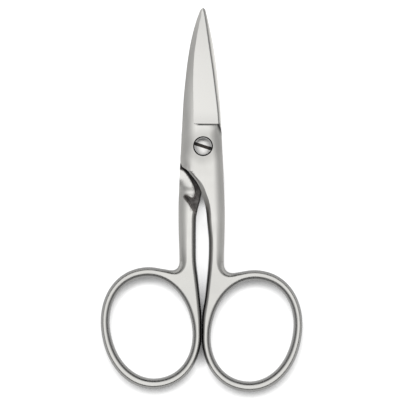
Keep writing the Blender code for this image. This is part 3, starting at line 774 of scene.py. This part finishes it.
class Nodes:
    """A node tree, with a short call for each kind of node that is used often."""

    def __init__(self, tree):
        self.tree = tree

    def put(self, socket, value):
        """Links a socket to another, or sets its value; None leaves it alone."""
        if isinstance(value, bpy.types.NodeSocket):
            self.tree.links.new(value, socket)
        elif value is not None:
            socket.default_value = value

    def fill(self, node, inputs):
        """Links or sets a node's inputs, in order or by name."""
        for key, value in inputs.items() if isinstance(inputs, dict) else enumerate(inputs):
            self.put(node.inputs[key], value)

    def add(self, kind, inputs=(), **settings):
        """The outputs of a new node with the given inputs and settings."""
        node = self.tree.nodes.new(kind)
        for key, value in settings.items():
            setattr(node, key, value)
        self.fill(node, inputs)
        return node.outputs

    def math(self, operation, *values):
        return self.add("ShaderNodeMath", values, operation=operation)[0]

    def times(self, first, second):
        return self.math("MULTIPLY", first, second)

    def vector(self, operation, *vectors):
        return self.add("ShaderNodeVectorMath", vectors, operation=operation)[0]

    def xyz(self, x, y, z):
        return self.add("ShaderNodeCombineXYZ", [x, y, z])[0]

    def axes(self, vector):
        return self.add("ShaderNodeSeparateXYZ", [vector])

    def radius(self, x, y):
        return self.math("SQRT", self.math("ADD", self.times(x, x), self.times(y, y)))

    def ramp(self, value, start, end, low=0.0, high=1.0, **settings):
        """A number that goes from low to high while the value goes from start to end."""
        return self.add("ShaderNodeMapRange", [value, start, end, low, high], **settings)[0]

    def mix(self, share, first, second, kind="FLOAT"):
        """A mix of two numbers, vectors or colours."""
        left, right, result = MIX_SOCKETS[kind]
        inputs = {0: share, left: first, right: second}
        return self.add("ShaderNodeMix", inputs, data_type=kind)[result]

    def noise(self, place, scale, detail, roughness=0.5):
        return self.add("ShaderNodeTexNoise", [place, None, scale, detail, roughness])[0]

    def group(self, tree, inputs):
        return self.add("ShaderNodeGroup", inputs, node_tree=tree)[0]

    def bump(self, height, strength):
        inputs = {"Height": height, "Strength": strength, "Distance": BUMP_HEIGHT}
        return self.add("ShaderNodeBump", inputs)[0]


def new_tree(name, kind, inputs, outputs):
    """An empty node group with named sockets: its nodes, given values and results."""
    tree = bpy.data.node_groups.new(name, kind)
    for label, socket_kind, *value in inputs:
        socket = tree.interface.new_socket(
            label, in_out="INPUT", socket_type="NodeSocket" + socket_kind)
        if value:
            socket.default_value = value[0]
    for label, socket_kind in outputs:
        tree.interface.new_socket(label, in_out="OUTPUT", socket_type="NodeSocket" + socket_kind)
    given, results = tree.nodes.new("NodeGroupInput"), tree.nodes.new("NodeGroupOutput")
    return Nodes(tree), given.outputs, results.inputs


def new_material(name):
    """A new material, its nodes and its shader."""
    material = bpy.data.materials.new(name)
    material.use_nodes = True
    tree = material.node_tree
    return material, Nodes(tree), tree.nodes["Principled BSDF"]


# %% Shader groups for streaks and clouds
BOW_TURN = 12 * MM
BOW_BLEND = 4 * MM
STREAK_ACROSS = 9000.0
STREAK_ALONG = 350.0
HAIR = (1.0, 3.0, 0.6)
WIDE = (0.22, 2.0, 0.5)
WIDE_SHARE = 0.4
CLOUD_SCALE = 180.0
CLOUD_DETAIL = (4.0, 0.55)
CLOUD_RANGE = (0.3, 0.7)


def make_streaks():
    """Fine streaks along Y, which bend round the centre below the bow's top."""
    nodes, given, results = new_tree("Belt streaks", "ShaderNodeTree", [
        ("Vector", "Vector", (0, 0, 0)), ("Across", "Float", STREAK_ACROSS),
        ("Along", "Float", STREAK_ALONG), ("Centre", "Vector", (0, 0, 0)),
        ("Bow top", "Float", -1.0)], [("Streaks", "Float")])
    place, bow_top = given["Vector"], given["Bow top"]
    x, y, z = nodes.axes(nodes.vector("SUBTRACT", place, given["Centre"]))
    turned = nodes.xyz(nodes.radius(x, y), nodes.times(nodes.math("ARCTAN2", y, x), BOW_TURN), z)
    share = nodes.ramp(nodes.axes(place)[1], bow_top, nodes.math("SUBTRACT", bow_top, BOW_BLEND))
    fine = nodes.xyz(given["Across"], given["Along"], given["Across"])
    scaled = nodes.vector("MULTIPLY", nodes.mix(share, place, turned, "VECTOR"), fine)
    hair, wide = (nodes.noise(scaled, *values) for values in (HAIR, WIDE))
    nodes.put(results[0], nodes.mix(WIDE_SHARE, hair, wide))
    return nodes.tree


def make_clouds():
    """Soft patches of any size."""
    nodes, given, results = new_tree("Handling clouds", "ShaderNodeTree", [
        ("Vector", "Vector", (0, 0, 0)), ("Scale", "Float", CLOUD_SCALE)], [("Clouds", "Float")])
    patches = nodes.noise(given["Vector"], given["Scale"], *CLOUD_DETAIL)
    nodes.put(results[0], nodes.ramp(patches, *CLOUD_RANGE))
    return nodes.tree


streaks_group, clouds_group = make_streaks(), make_clouds()

# %% [markdown]
# ## Steel of the halves
#
# The halves are satin steel, a touch warm. The blade's face is ground finer and across the blade.
# In the hook's recess the dark skin of the forging is left. It is an oxide, so it is less metallic
# and blotchy; its steep walls are lighter, partly from wear and partly as painted light. Shade is
# painted into the colour as well: on the inner sides of the shanks, where they face each other, on
# steep walls, on the outer walls near the bows' tops, round the screw, in the bore, along the step
# and where one half lies close over the other. The walls of the bows' openings and the bows are
# darker. The masks come from the kinds that each corner keeps.

# %% Steel material for a half
SATIN = (0.72, 0.713, 0.687, 1.0)
SATIN_WORN = (0.64, 0.634, 0.61, 1.0)
GROUND = (0.86, 0.852, 0.822, 1.0)
DARKER_STEEL = (0.50, 0.495, 0.476, 1.0)
SKIN = (0.19, 0.18, 0.173, 1.0)
SKIN_MIDDLE = (0.07, 0.065, 0.062, 1.0)
# The skin's steep walls are lighter: partly wear, and partly painted light standing in for the
# light these walls catch.
SKIN_WALL_LIGHT = (0.36, 0.335, 0.32, 1.0)
# Near-black colour of the painted shade and painted shadows.
PAINTED_SHADE_COLOUR = (0.015, 0.014, 0.013, 1.0)
# Colour of the painted shade on the shanks' inner sides.
INNER = (0.1, 0.1, 0.097, 1.0)
# Colour of the painted shade on steep slopes.
WALL = (0.21, 0.208, 0.203, 1.0)
# Colour of the bows' darker walls, painted shade on the outer wall near the top.
BOW_WALL = (0.36, 0.358, 0.352, 1.0)
# Round the screw the colour is painted darker as painted shade, in patches; the bows are darker
# too.
SCREW_SHADE_REACH = 5.2 * MM
SCREW_SHADE_START_SHARE = 0.4
SCREW_SHADE_CLOUDS = (0.75, 1.0)
BLOTCH_SCALE = 700.0
BLOTCH_RANGE = (0.25, 0.8)
BOW_STREAKS = 17 * MM
BOW_LEVELS = (19 * MM, 13 * MM)
BOW_DARKER_SHARE = 0.95
INNER_SHARE = 0.7
SHADE_MARKS_SHARE = 0.97
GRIND_TURN = math.radians(84)
GRIND_ACROSS = 14000.0
GRIND_ALONG = 900.0
GRIND_ROUGHNESS = 0.1
STREAK_ROUGHNESS = 0.06
STREAK_BUMP = 0.12
SATIN_ROUGHNESS = (0.38, 0.46)
BOW_ROUGHNESS = (0.24, 0.32)
GROUND_ROUGHNESS = 0.24
SKIN_ROUGHNESS = 0.55
SKIN_METAL = 0.1
SPECULAR = 0.2


def half_steel(name, bow_centre, facing):
    """Satin steel whose streaks follow one half."""
    material, nodes, shader = new_material(name)
    place = nodes.add("ShaderNodeTexCoord")["Object"]
    centre = (middle_x + facing * bow_centre[0], pivot[1] + bow_centre[1], 0)
    streaks = nodes.group(streaks_group, {
        "Vector": place, "Centre": centre, "Bow top": centre[1] + BOW_STREAKS})
    clouds = nodes.group(clouds_group, {"Vector": place})
    blotches = nodes.ramp(
        nodes.group(clouds_group, {"Vector": place, "Scale": BLOTCH_SCALE}), *BLOTCH_RANGE)
    turned = nodes.add("ShaderNodeMapping", [place, (0, 0, 0), (0, 0, GRIND_TURN)])[0]
    across = nodes.group(streaks_group, {
        "Vector": turned, "Across": GRIND_ACROSS, "Along": GRIND_ALONG})
    ground, skin, painted_shade, inner, bow_wall, painted_shade_marks, wall = (
        nodes.add("ShaderNodeAttribute", attribute_name=kind)["Fac"] for kind in KINDS)
    screw_top = (pivot[0], pivot[1], 2 * HALF_DEPTH)
    from_screw = nodes.add("ShaderNodeVectorMath", [place, screw_top], operation="DISTANCE")
    # Painted shade round the screw, fading out with distance and varied by the clouds.
    screw_shade = nodes.ramp(from_screw["Value"], SCREW_SHADE_REACH * SCREW_SHADE_START_SHARE, SCREW_SHADE_REACH,
                      1.0, 0.0, interpolation_type="SMOOTHSTEP")
    screw_shade = nodes.times(screw_shade, nodes.mix(clouds, *SCREW_SHADE_CLOUDS))
    on_bow = nodes.ramp(nodes.axes(place)[1], *(centre[1] + level for level in BOW_LEVELS))

    # Colour layers, each over the ones before: painted shade round the screw, the darker bows, the
    # ground face, the darker bow walls, painted shade on steep walls and inner sides, the skin with
    # its lighter walls, painted shadows and painted shade marks.
    colour = nodes.mix(streaks, SATIN_WORN, SATIN, "RGBA")
    for share, layer in (
            (screw_shade, DARKER_STEEL), (nodes.times(on_bow, BOW_DARKER_SHARE), DARKER_STEEL), (ground, GROUND),
            (bow_wall, BOW_WALL), (wall, WALL), (nodes.times(inner, INNER_SHARE), INNER),
            (skin, nodes.mix(blotches, SKIN_MIDDLE, SKIN, "RGBA")),
            (nodes.times(skin, wall), SKIN_WALL_LIGHT), (painted_shade, PAINTED_SHADE_COLOUR),
            (nodes.times(painted_shade_marks, SHADE_MARKS_SHARE), PAINTED_SHADE_COLOUR)):
        colour = nodes.mix(share, colour, layer, "RGBA")
    rough = nodes.mix(clouds, *SATIN_ROUGHNESS)
    rough = nodes.math("MULTIPLY_ADD", streaks, STREAK_ROUGHNESS, rough)
    for share, value in (
            (on_bow, nodes.mix(clouds, *BOW_ROUGHNESS)),
            (ground, nodes.math("MULTIPLY_ADD", across, GRIND_ROUGHNESS, GROUND_ROUGHNESS)),
            (skin, SKIN_ROUGHNESS)):
        rough = nodes.mix(share, rough, value)
    nodes.fill(shader, {
        "Base Color": colour, "Roughness": rough, "Specular IOR Level": SPECULAR,
        "Metallic": nodes.math("MULTIPLY_ADD", skin, SKIN_METAL - 1, 1.0),
        "Normal": nodes.bump(nodes.mix(ground, streaks, across), STREAK_BUMP)})
    return material


front_steel = half_steel("front_satin_steel", front_plan.bow_centre, 1)
rear_steel = half_steel("rear_satin_steel", rear_plan.bow_centre, -1)

# %% [markdown]
# ## The curve of the blades
#
# Nail scissors have blades that curve up, so that they follow a fingertip. The rule is simple: past
# the step a blade rises with the square of the distance. A Geometry Nodes tree holds that rule,
# with the three sizes as its inputs, and both halves pass through the same tree.

# %% Geometry Nodes tree that curves a blade
def finish_tree(nodes, given, results, geometry_socket):
    """Ends a tree in Realize Instances and Set Material."""
    real = nodes.add("GeometryNodeRealizeInstances", [geometry_socket])[0]
    painted = nodes.add("GeometryNodeSetMaterial", {"Geometry": real, "Material": given["Finish"]})
    nodes.put(results[0], painted[0])
    return nodes.tree


def curve_blade_tree():
    """Raises what lies past the blade's start by the square of its distance."""
    nodes, given, results = new_tree("Curve the blade", "GeometryNodeTree", [
        ("Geometry", "Geometry"), ("Blade start", "Float"), ("Blade length", "Float"),
        ("Blade rise", "Float"), ("Finish", "Material")], [("Geometry", "Geometry")])
    y = nodes.axes(nodes.add("GeometryNodeInputPosition")[0])[1]
    past = nodes.math("SUBTRACT", y, given["Blade start"])
    along = nodes.math("MAXIMUM", nodes.math("DIVIDE", past, given["Blade length"]), 0.0)
    rise = nodes.times(nodes.times(along, along), given["Blade rise"])
    moved = nodes.add("GeometryNodeSetPosition", {
        "Geometry": given["Geometry"], "Offset": nodes.xyz(0.0, 0.0, rise)})
    return finish_tree(nodes, given, results, moved[0])


def applied(obj):
    """The mesh of an object with its modifiers applied."""
    depsgraph = bpy.context.evaluated_depsgraph_get()
    return bpy.data.meshes.new_from_object(
        obj.evaluated_get(depsgraph), preserve_all_data_layers=True, depsgraph=depsgraph)


def run_tree(obj, tree, name, values):
    """The plain mesh that a tree makes of an object, as a new object."""
    modifier = obj.modifiers.new(tree.name, "NODES")
    modifier.node_group = tree
    for item in tree.interface.items_tree:
        if item.in_out == "INPUT" and item.name in values:
            modifier[item.identifier] = values[item.name]
    mesh = applied(obj)
    mesh.name = name
    bpy.data.objects.remove(obj, do_unlink=True)
    return add_object(name, mesh)


blade_tree = curve_blade_tree()
blade_values = {"Blade start": pivot[1] + BLADE_START, "Blade length": BLADE_LENGTH,
                "Blade rise": BLADE_RISE}
front = run_tree(
    flat_front, blade_tree, "front_half_satin", {**blade_values, "Finish": front_steel})
rear = run_tree(flat_rear, blade_tree, "rear_half_satin", {**blade_values, "Finish": rear_steel})
print("blade tips reach", round(max(v.co.z for v in front.data.vertices) / MM, 2), "mm")

# %% Keep the halves inside the solids' boxes and shade them
CREASE_ANGLE = math.radians(22)


def finish_half(half, node):
    """Trims a half to the box of its solid and shades it smooth between its creases."""
    mesh = half.data
    places = np.empty(len(mesh.vertices) * 3, dtype=np.float32)
    mesh.vertices.foreach_get("co", places)
    places = np.clip(places.reshape(-1, 3), *np.array(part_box(node)))
    mesh.vertices.foreach_set("co", places.ravel())
    mesh.update()
    mesh.shade_smooth()
    mesh.set_sharp_from_angle(angle=CREASE_ANGLE)
    normals = np.empty(len(mesh.loops) * 3, dtype=np.float32)
    mesh.attributes["true_normal"].data.foreach_get("vector", normals)
    mesh.normals_split_custom_set(normals.reshape(-1, 3).tolist())
    mesh.attributes.remove(mesh.attributes["true_normal"])


finish_half(front, "front_half")
finish_half(rear, "rear_half")

# %% [markdown]
# ## The pivot screw
#
# The screw is turned on a lathe: a dished head with a broken edge, a plain neck, and a thread that
# bites into the rear half. Its body is a profile spun round the axis. The slot is cut with a
# boolean. The thread follows a spiral, so Geometry Nodes sweep a small circle along one.

# %% Screw body and slot
HEAD_RADIUS = 2.07 * MM
HEAD_DISH = 0.52 * MM
HEAD_HEIGHT = 1.1 * MM
HEAD_SINK = 0.05 * MM
SHAFT_RADIUS = 1.25 * MM
SLOT_WIDTH = 0.82 * MM
SLOT_DEPTH = 0.9 * MM
SLOT_TURN = math.radians(-18)
SLOT_BREAK = 0.04 * MM
SLOT_OVERRUN = MM
CUTTER_LENGTH = 3 * HEAD_RADIUS
SHARP_ANGLE = math.radians(60)
SCREW_CREASE = math.radians(35)
SCREW_BREAK = 0.12 * MM
BREAK_TURNS = [math.radians(a) for a in (0, 22, 45, 68, 90)]
DISH_SHARES = np.linspace(0.9, 0, 10)
SCREW_SIDES = 128
FACE_MARGIN = 0.01 * MM
screw_face = 2 * HALF_DEPTH - HEAD_SINK


def spun(name, profile):
    """A solid of revolution about the pivot, from radius and height pairs, bottom first."""
    work = bmesh.new()
    rings = []
    for radius, height in profile:
        turns = [2 * math.pi * i / SCREW_SIDES for i in range(SCREW_SIDES if radius else 1)]
        ring = [(pivot[0] + radius * math.cos(a), pivot[1] + radius * math.sin(a)) for a in turns]
        rings.append([work.verts.new((*place, height)) for place in ring])
    for lower, upper in zip(rings, rings[1:]):
        for i in range(SCREW_SIDES):
            j = (i + 1) % SCREW_SIDES
            corners = [lower[i % len(lower)], lower[j % len(lower)]]
            corners += [upper[j % len(upper)], upper[i % len(upper)]]
            work.faces.new(list(dict.fromkeys(corners)))
    bmesh.ops.recalc_face_normals(work, faces=work.faces)
    return mesh_object(name, work)


def screw_profile():
    """Radius and height pairs of the screw, with rounded breaks on the head and the end."""
    under = screw_face - HEAD_HEIGHT
    gaps = [(SCREW_BREAK * (1 - math.sin(a)), SCREW_BREAK * (1 - math.cos(a)))
            for a in BREAK_TURNS]
    end = [(SHAFT_RADIUS - across, HEAD_SINK + up) for across, up in gaps]
    rim = [(HEAD_RADIUS - across, screw_face - down) for down, across in gaps]
    flat = HEAD_RADIUS - SCREW_BREAK
    dish = [(share * flat, screw_face - HEAD_DISH * (1 - share**2)) for share in DISH_SHARES]
    return [(0, HEAD_SINK), *end, (SHAFT_RADIUS, under), (HEAD_RADIUS, under), *rim, *dish]


def cut_slot(screw):
    """Cuts the driver slot across the head."""
    work = bmesh.new()
    bmesh.ops.create_cube(work, size=1.0)
    height = SLOT_DEPTH + SLOT_OVERRUN
    bmesh.ops.scale(work, verts=work.verts, vec=(CUTTER_LENGTH, SLOT_WIDTH, height))
    cutter = mesh_object("slot", work)
    cutter.location = (pivot[0], pivot[1], screw_face - SLOT_DEPTH + height / 2)
    cutter.rotation_euler.z = SLOT_TURN
    modifier = screw.modifiers.new("slot", "BOOLEAN")
    modifier.operation = "DIFFERENCE"
    modifier.solver = "EXACT"
    modifier.object = cutter
    mesh = applied(screw)
    screw.modifiers.clear()
    screw.data = mesh
    bpy.data.objects.remove(cutter, do_unlink=True)


def break_edges(mesh):
    """Rounds the sharp edges on the head's face."""
    work = bmesh.new()
    work.from_mesh(mesh)
    sharp = [e for e in work.edges if e.calc_face_angle(0) > SHARP_ANGLE
             and min(v.co.z for v in e.verts) > screw_face - FACE_MARGIN]
    bmesh.ops.bevel(work, geom=sharp, offset=SLOT_BREAK, segments=2, affect="EDGES")
    work.to_mesh(mesh)
    work.free()


screw = spun("pivot_screw_steel", screw_profile())
cut_slot(screw)
break_edges(screw.data)
screw.data.shade_smooth()
screw.data.set_sharp_from_angle(angle=SCREW_CREASE)
print("screw faces:", len(screw.data.polygons))

# %% Screw material with turning rings
# Painted shade in the slot: how wide it fades at the slot's edges, and its colour below.
SLOT_SHADE_FADE = 0.06 * MM
RING_DARK = (0.56, 0.555, 0.545, 1)
RING_LIGHT = (0.70, 0.695, 0.685, 1)
SLOT_SHADE = (0.03, 0.027, 0.024, 1)
RING_SCALE = 16000.0
RING_DETAIL = 2.0
RING_BUMP = 0.1
SCREW_CLOUD_SCALE = 600.0
SCREW_ROUGHNESS = (0.22, 0.32)


def screw_steel():
    """Polished steel with the fine rings that a lathe leaves, and painted shade in the slot."""
    material, nodes, shader = new_material("screw_turned_steel")
    place = nodes.add("ShaderNodeTexCoord")["Object"]
    x, y, z = nodes.axes(nodes.vector("SUBTRACT", place, (pivot[0], pivot[1], 0)))
    rings = nodes.noise(nodes.xyz(nodes.radius(x, y), 0.0, 0.0), RING_SCALE, RING_DETAIL)
    clouds = nodes.group(clouds_group, {"Vector": place, "Scale": SCREW_CLOUD_SCALE})
    from_slot = nodes.math("SUBTRACT", nodes.times(y, math.cos(SLOT_TURN)),
                           nodes.times(x, math.sin(SLOT_TURN)))
    half = SLOT_WIDTH / 2
    # Painted shade inside the slot, fading out at its edges.
    painted_shade = nodes.ramp(nodes.math("ABSOLUTE", from_slot), half - SLOT_SHADE_FADE, half, 1.0, 0.0)
    in_slot = nodes.times(painted_shade, nodes.math("GREATER_THAN", z, HALF_DEPTH))
    turned = nodes.mix(rings, RING_DARK, RING_LIGHT, "RGBA")
    nodes.fill(shader, {
        "Base Color": nodes.mix(in_slot, turned, SLOT_SHADE, "RGBA"),
        "Roughness": nodes.mix(clouds, *SCREW_ROUGHNESS), "Metallic": 1.0,
        "Normal": nodes.bump(rings, RING_BUMP)})
    return material


turned_steel = screw_steel()
screw.data.materials.clear()
screw.data.materials.append(turned_steel)

# %% Geometry Nodes tree for the thread
THREAD_PITCH = 0.35 * MM
THREAD_TURNS = 5.0
THREAD_WIDTH = 0.09 * MM
THREAD_STEPS = 64
THREAD_SIDES = 8


def thread_tree():
    """Sweeps a small circle along a spiral."""
    nodes, given, results = new_tree("Screw thread", "GeometryNodeTree", [
        ("Geometry", "Geometry"), ("Radius", "Float"), ("Turns", "Float"), ("Height", "Float"),
        ("Wire", "Float"), ("Place", "Vector"), ("Finish", "Material")], [("Geometry", "Geometry")])
    spiral = nodes.add("GeometryNodeCurveSpiral", {
        "Resolution": THREAD_STEPS, "Rotations": given["Turns"], "Start Radius": given["Radius"],
        "End Radius": given["Radius"], "Height": given["Height"]})[0]
    section = nodes.add("GeometryNodeCurvePrimitiveCircle", {
        "Resolution": THREAD_SIDES, "Radius": given["Wire"]})[0]
    swept = nodes.add("GeometryNodeCurveToMesh", {
        "Curve": spiral, "Profile Curve": section, "Fill Caps": True})[0]
    smooth = nodes.add("GeometryNodeSetShadeSmooth", [swept])[0]
    moved = nodes.add("GeometryNodeTransform", {"Geometry": smooth, "Translation": given["Place"]})
    return finish_tree(nodes, given, results, moved[0])


holder = add_object("thread_holder", bpy.data.meshes.new("thread_holder"))
thread = run_tree(holder, thread_tree(), "pivot_screw_thread", {
    "Radius": SHAFT_RADIUS, "Turns": THREAD_TURNS, "Height": THREAD_PITCH * THREAD_TURNS,
    "Wire": THREAD_WIDTH, "Finish": turned_steel,
    "Place": (pivot[0], pivot[1], HEAD_SINK + SCREW_BREAK + THREAD_WIDTH)})
print("thread faces:", len(thread.data.polygons))

# %% Attach each piece to its body and hide the imported solids
for piece, body, slot in ((front, "front", "satin_steel"), (rear, "rear", "satin_steel"),
                          (screw, "rear", "screw_steel"), (thread, "rear", "screw_steel")):
    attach(piece, body)
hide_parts("front_half")
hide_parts("rear_half")
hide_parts("pivot_screw")

# %% [markdown]
# ## Table and light
#
# The scissors lie on a white table. Soft lamps hang over the top of the picture, each wider than
# the one below it, so flat faces turn bright and the bevelled flanks, which mirror the room, turn
# grey. The room is a plain grey, with a dark patch overhead on the camera's near side. Metal shows
# its surroundings more than its own colour, so this does as much for the look as the material.

# %% White table
TABLE_SIZE = 1.5
TABLE_GREY = 0.36
TABLE_GLOW = 0.95
TABLE_ROUGHNESS = 0.9
NEAR_SAMPLES = 8
SHADOW_REACH = 3.0 * MM
SHADOW_FROM = (-0.12, 0.8, 0.45)
SHADOW_DEEP = 0.18
SHADOW_OPEN = 0.8
SLIT_REACH = 5.0 * MM
SLIT_OPEN = 0.3
SLIT_SHADOW = 0.25


def white_table():
    """A large plain floor, white to the camera and darker where the scissors stand close to it."""
    work = bmesh.new()
    bmesh.ops.create_grid(work, x_segments=1, y_segments=1, size=TABLE_SIZE)
    table = mesh_object("white_table", work)
    material, nodes, shader = new_material("white_table")
    rays = nodes.add("ShaderNodeLightPath")
    seen = nodes.math("MAXIMUM", rays["Is Camera Ray"], rays["Is Glossy Ray"])
    seen = nodes.math("MAXIMUM", seen, rays["Is Transmission Ray"])
    away = nodes.vector("NORMALIZE", SHADOW_FROM)
    near, slit = (
        nodes.add("ShaderNodeAmbientOcclusion", inputs, samples=NEAR_SAMPLES)["AO"]
        for inputs in ({"Distance": SHADOW_REACH, "Normal": away}, {"Distance": SLIT_REACH}))
    near = nodes.ramp(near, SHADOW_DEEP, SHADOW_OPEN, interpolation_type="SMOOTHSTEP")
    slit = nodes.ramp(slit, 0.0, SLIT_OPEN, SLIT_SHADOW, 1.0)
    glow = nodes.times(nodes.times(seen, nodes.times(near, slit)), TABLE_GLOW)
    nodes.fill(shader, {
        "Base Color": (TABLE_GREY, TABLE_GREY, TABLE_GREY, 1), "Roughness": TABLE_ROUGHNESS,
        "Specular IOR Level": 0.0, "Emission Color": (1, 1, 1, 1), "Emission Strength": glow})
    table.data.materials.append(material)


white_table()

# %% Room and lamps
LAMP_HEIGHT = 0.6
LAMP_LONG = 1.26
LAMP_SHIFT = 0.21
LAMP_STEPS = ((0.32, 0.17), (0.56, 0.27), (0.84, 0.30), (1.2, 0.25), (1.85, 0.15), (2.97, 0.06))
ROOM_GREY = 0.30
FAR_GREY = 0.14
FAR_RANGE = (0.35, 0.7)
NEAR_SHARE = 0.06
NEAR_RANGE = (-0.6, -0.1)
CEILING_RANGE = (-0.7, -0.1)
CEILING_LEVELS = (0.56, 0.45)
CEILING_FADE = 0.12


def grey_room():
    """A plain grey room, darker past the table's far side and dark above its near side."""
    world = bpy.data.worlds.new("grey_room")
    bpy.context.scene.world = world
    world.use_nodes = True
    nodes = Nodes(world.node_tree)
    _, y, z = nodes.axes(nodes.add("ShaderNodeTexCoord")["Generated"])
    near = nodes.ramp(y, *NEAR_RANGE, NEAR_SHARE, 1.0)
    over = nodes.math("SUBTRACT", z, nodes.ramp(y, *CEILING_RANGE, *CEILING_LEVELS))
    share = nodes.ramp(over, 0.0, CEILING_FADE)
    room = nodes.ramp(y, *FAR_RANGE, ROOM_GREY, FAR_GREY)
    background = world.node_tree.nodes["Background"]
    nodes.put(background.inputs["Color"], nodes.times(room, nodes.mix(share, 1.0, near)))


def soft_lamps():
    """Soft lamps over the table, each wider than the one below, so the light fades sideways."""
    for level, (wide, radiance) in enumerate(LAMP_STEPS):
        name = f"soft_lamp_{level}"
        lamp = bpy.data.lights.new(name, "AREA")
        lamp.shape = "RECTANGLE"
        lamp.size = wide
        lamp.size_y = LAMP_LONG
        lamp.energy = radiance * math.pi * wide * LAMP_LONG
        add_object(name, lamp).location = (0, LAMP_SHIFT, LAMP_HEIGHT + level * MM)


grey_room()
soft_lamps()

# %% [markdown]
# ## Camera
#
# The photo looks straight down with a long lens. A point of the table 0.234 mm across is one
# pixel, and the middle of the picture is close to the middle of the scissors.

# %% Camera
PIXEL = 0.2338 * MM
PICTURE = 400
CAMERA_DISTANCE = 0.8
CAMERA_CLIP = 0.01
SENSOR_WIDTH = 36
FRAME_LEVEL = 4.0 * MM
MIDDLE_LINE_PIXEL = 201.6
SCREW_PIXEL = 146.2

camera_data = bpy.data.cameras.new("camera")
camera = add_object("camera", camera_data)
camera_data.sensor_width = SENSOR_WIDTH
camera_data.lens = SENSOR_WIDTH * CAMERA_DISTANCE / (PICTURE * PIXEL)
camera_data.clip_start = CAMERA_CLIP
camera.location = (
    middle_x + (PICTURE / 2 - MIDDLE_LINE_PIXEL) * PIXEL,
    pivot[1] + (SCREW_PIXEL - PICTURE / 2) * PIXEL,
    FRAME_LEVEL + CAMERA_DISTANCE)
bpy.context.scene.camera = camera
bpy.context.scene.view_settings.view_transform = "Standard"
print("camera at", [round(c, 4) for c in camera.location], "lens", round(camera_data.lens, 1))
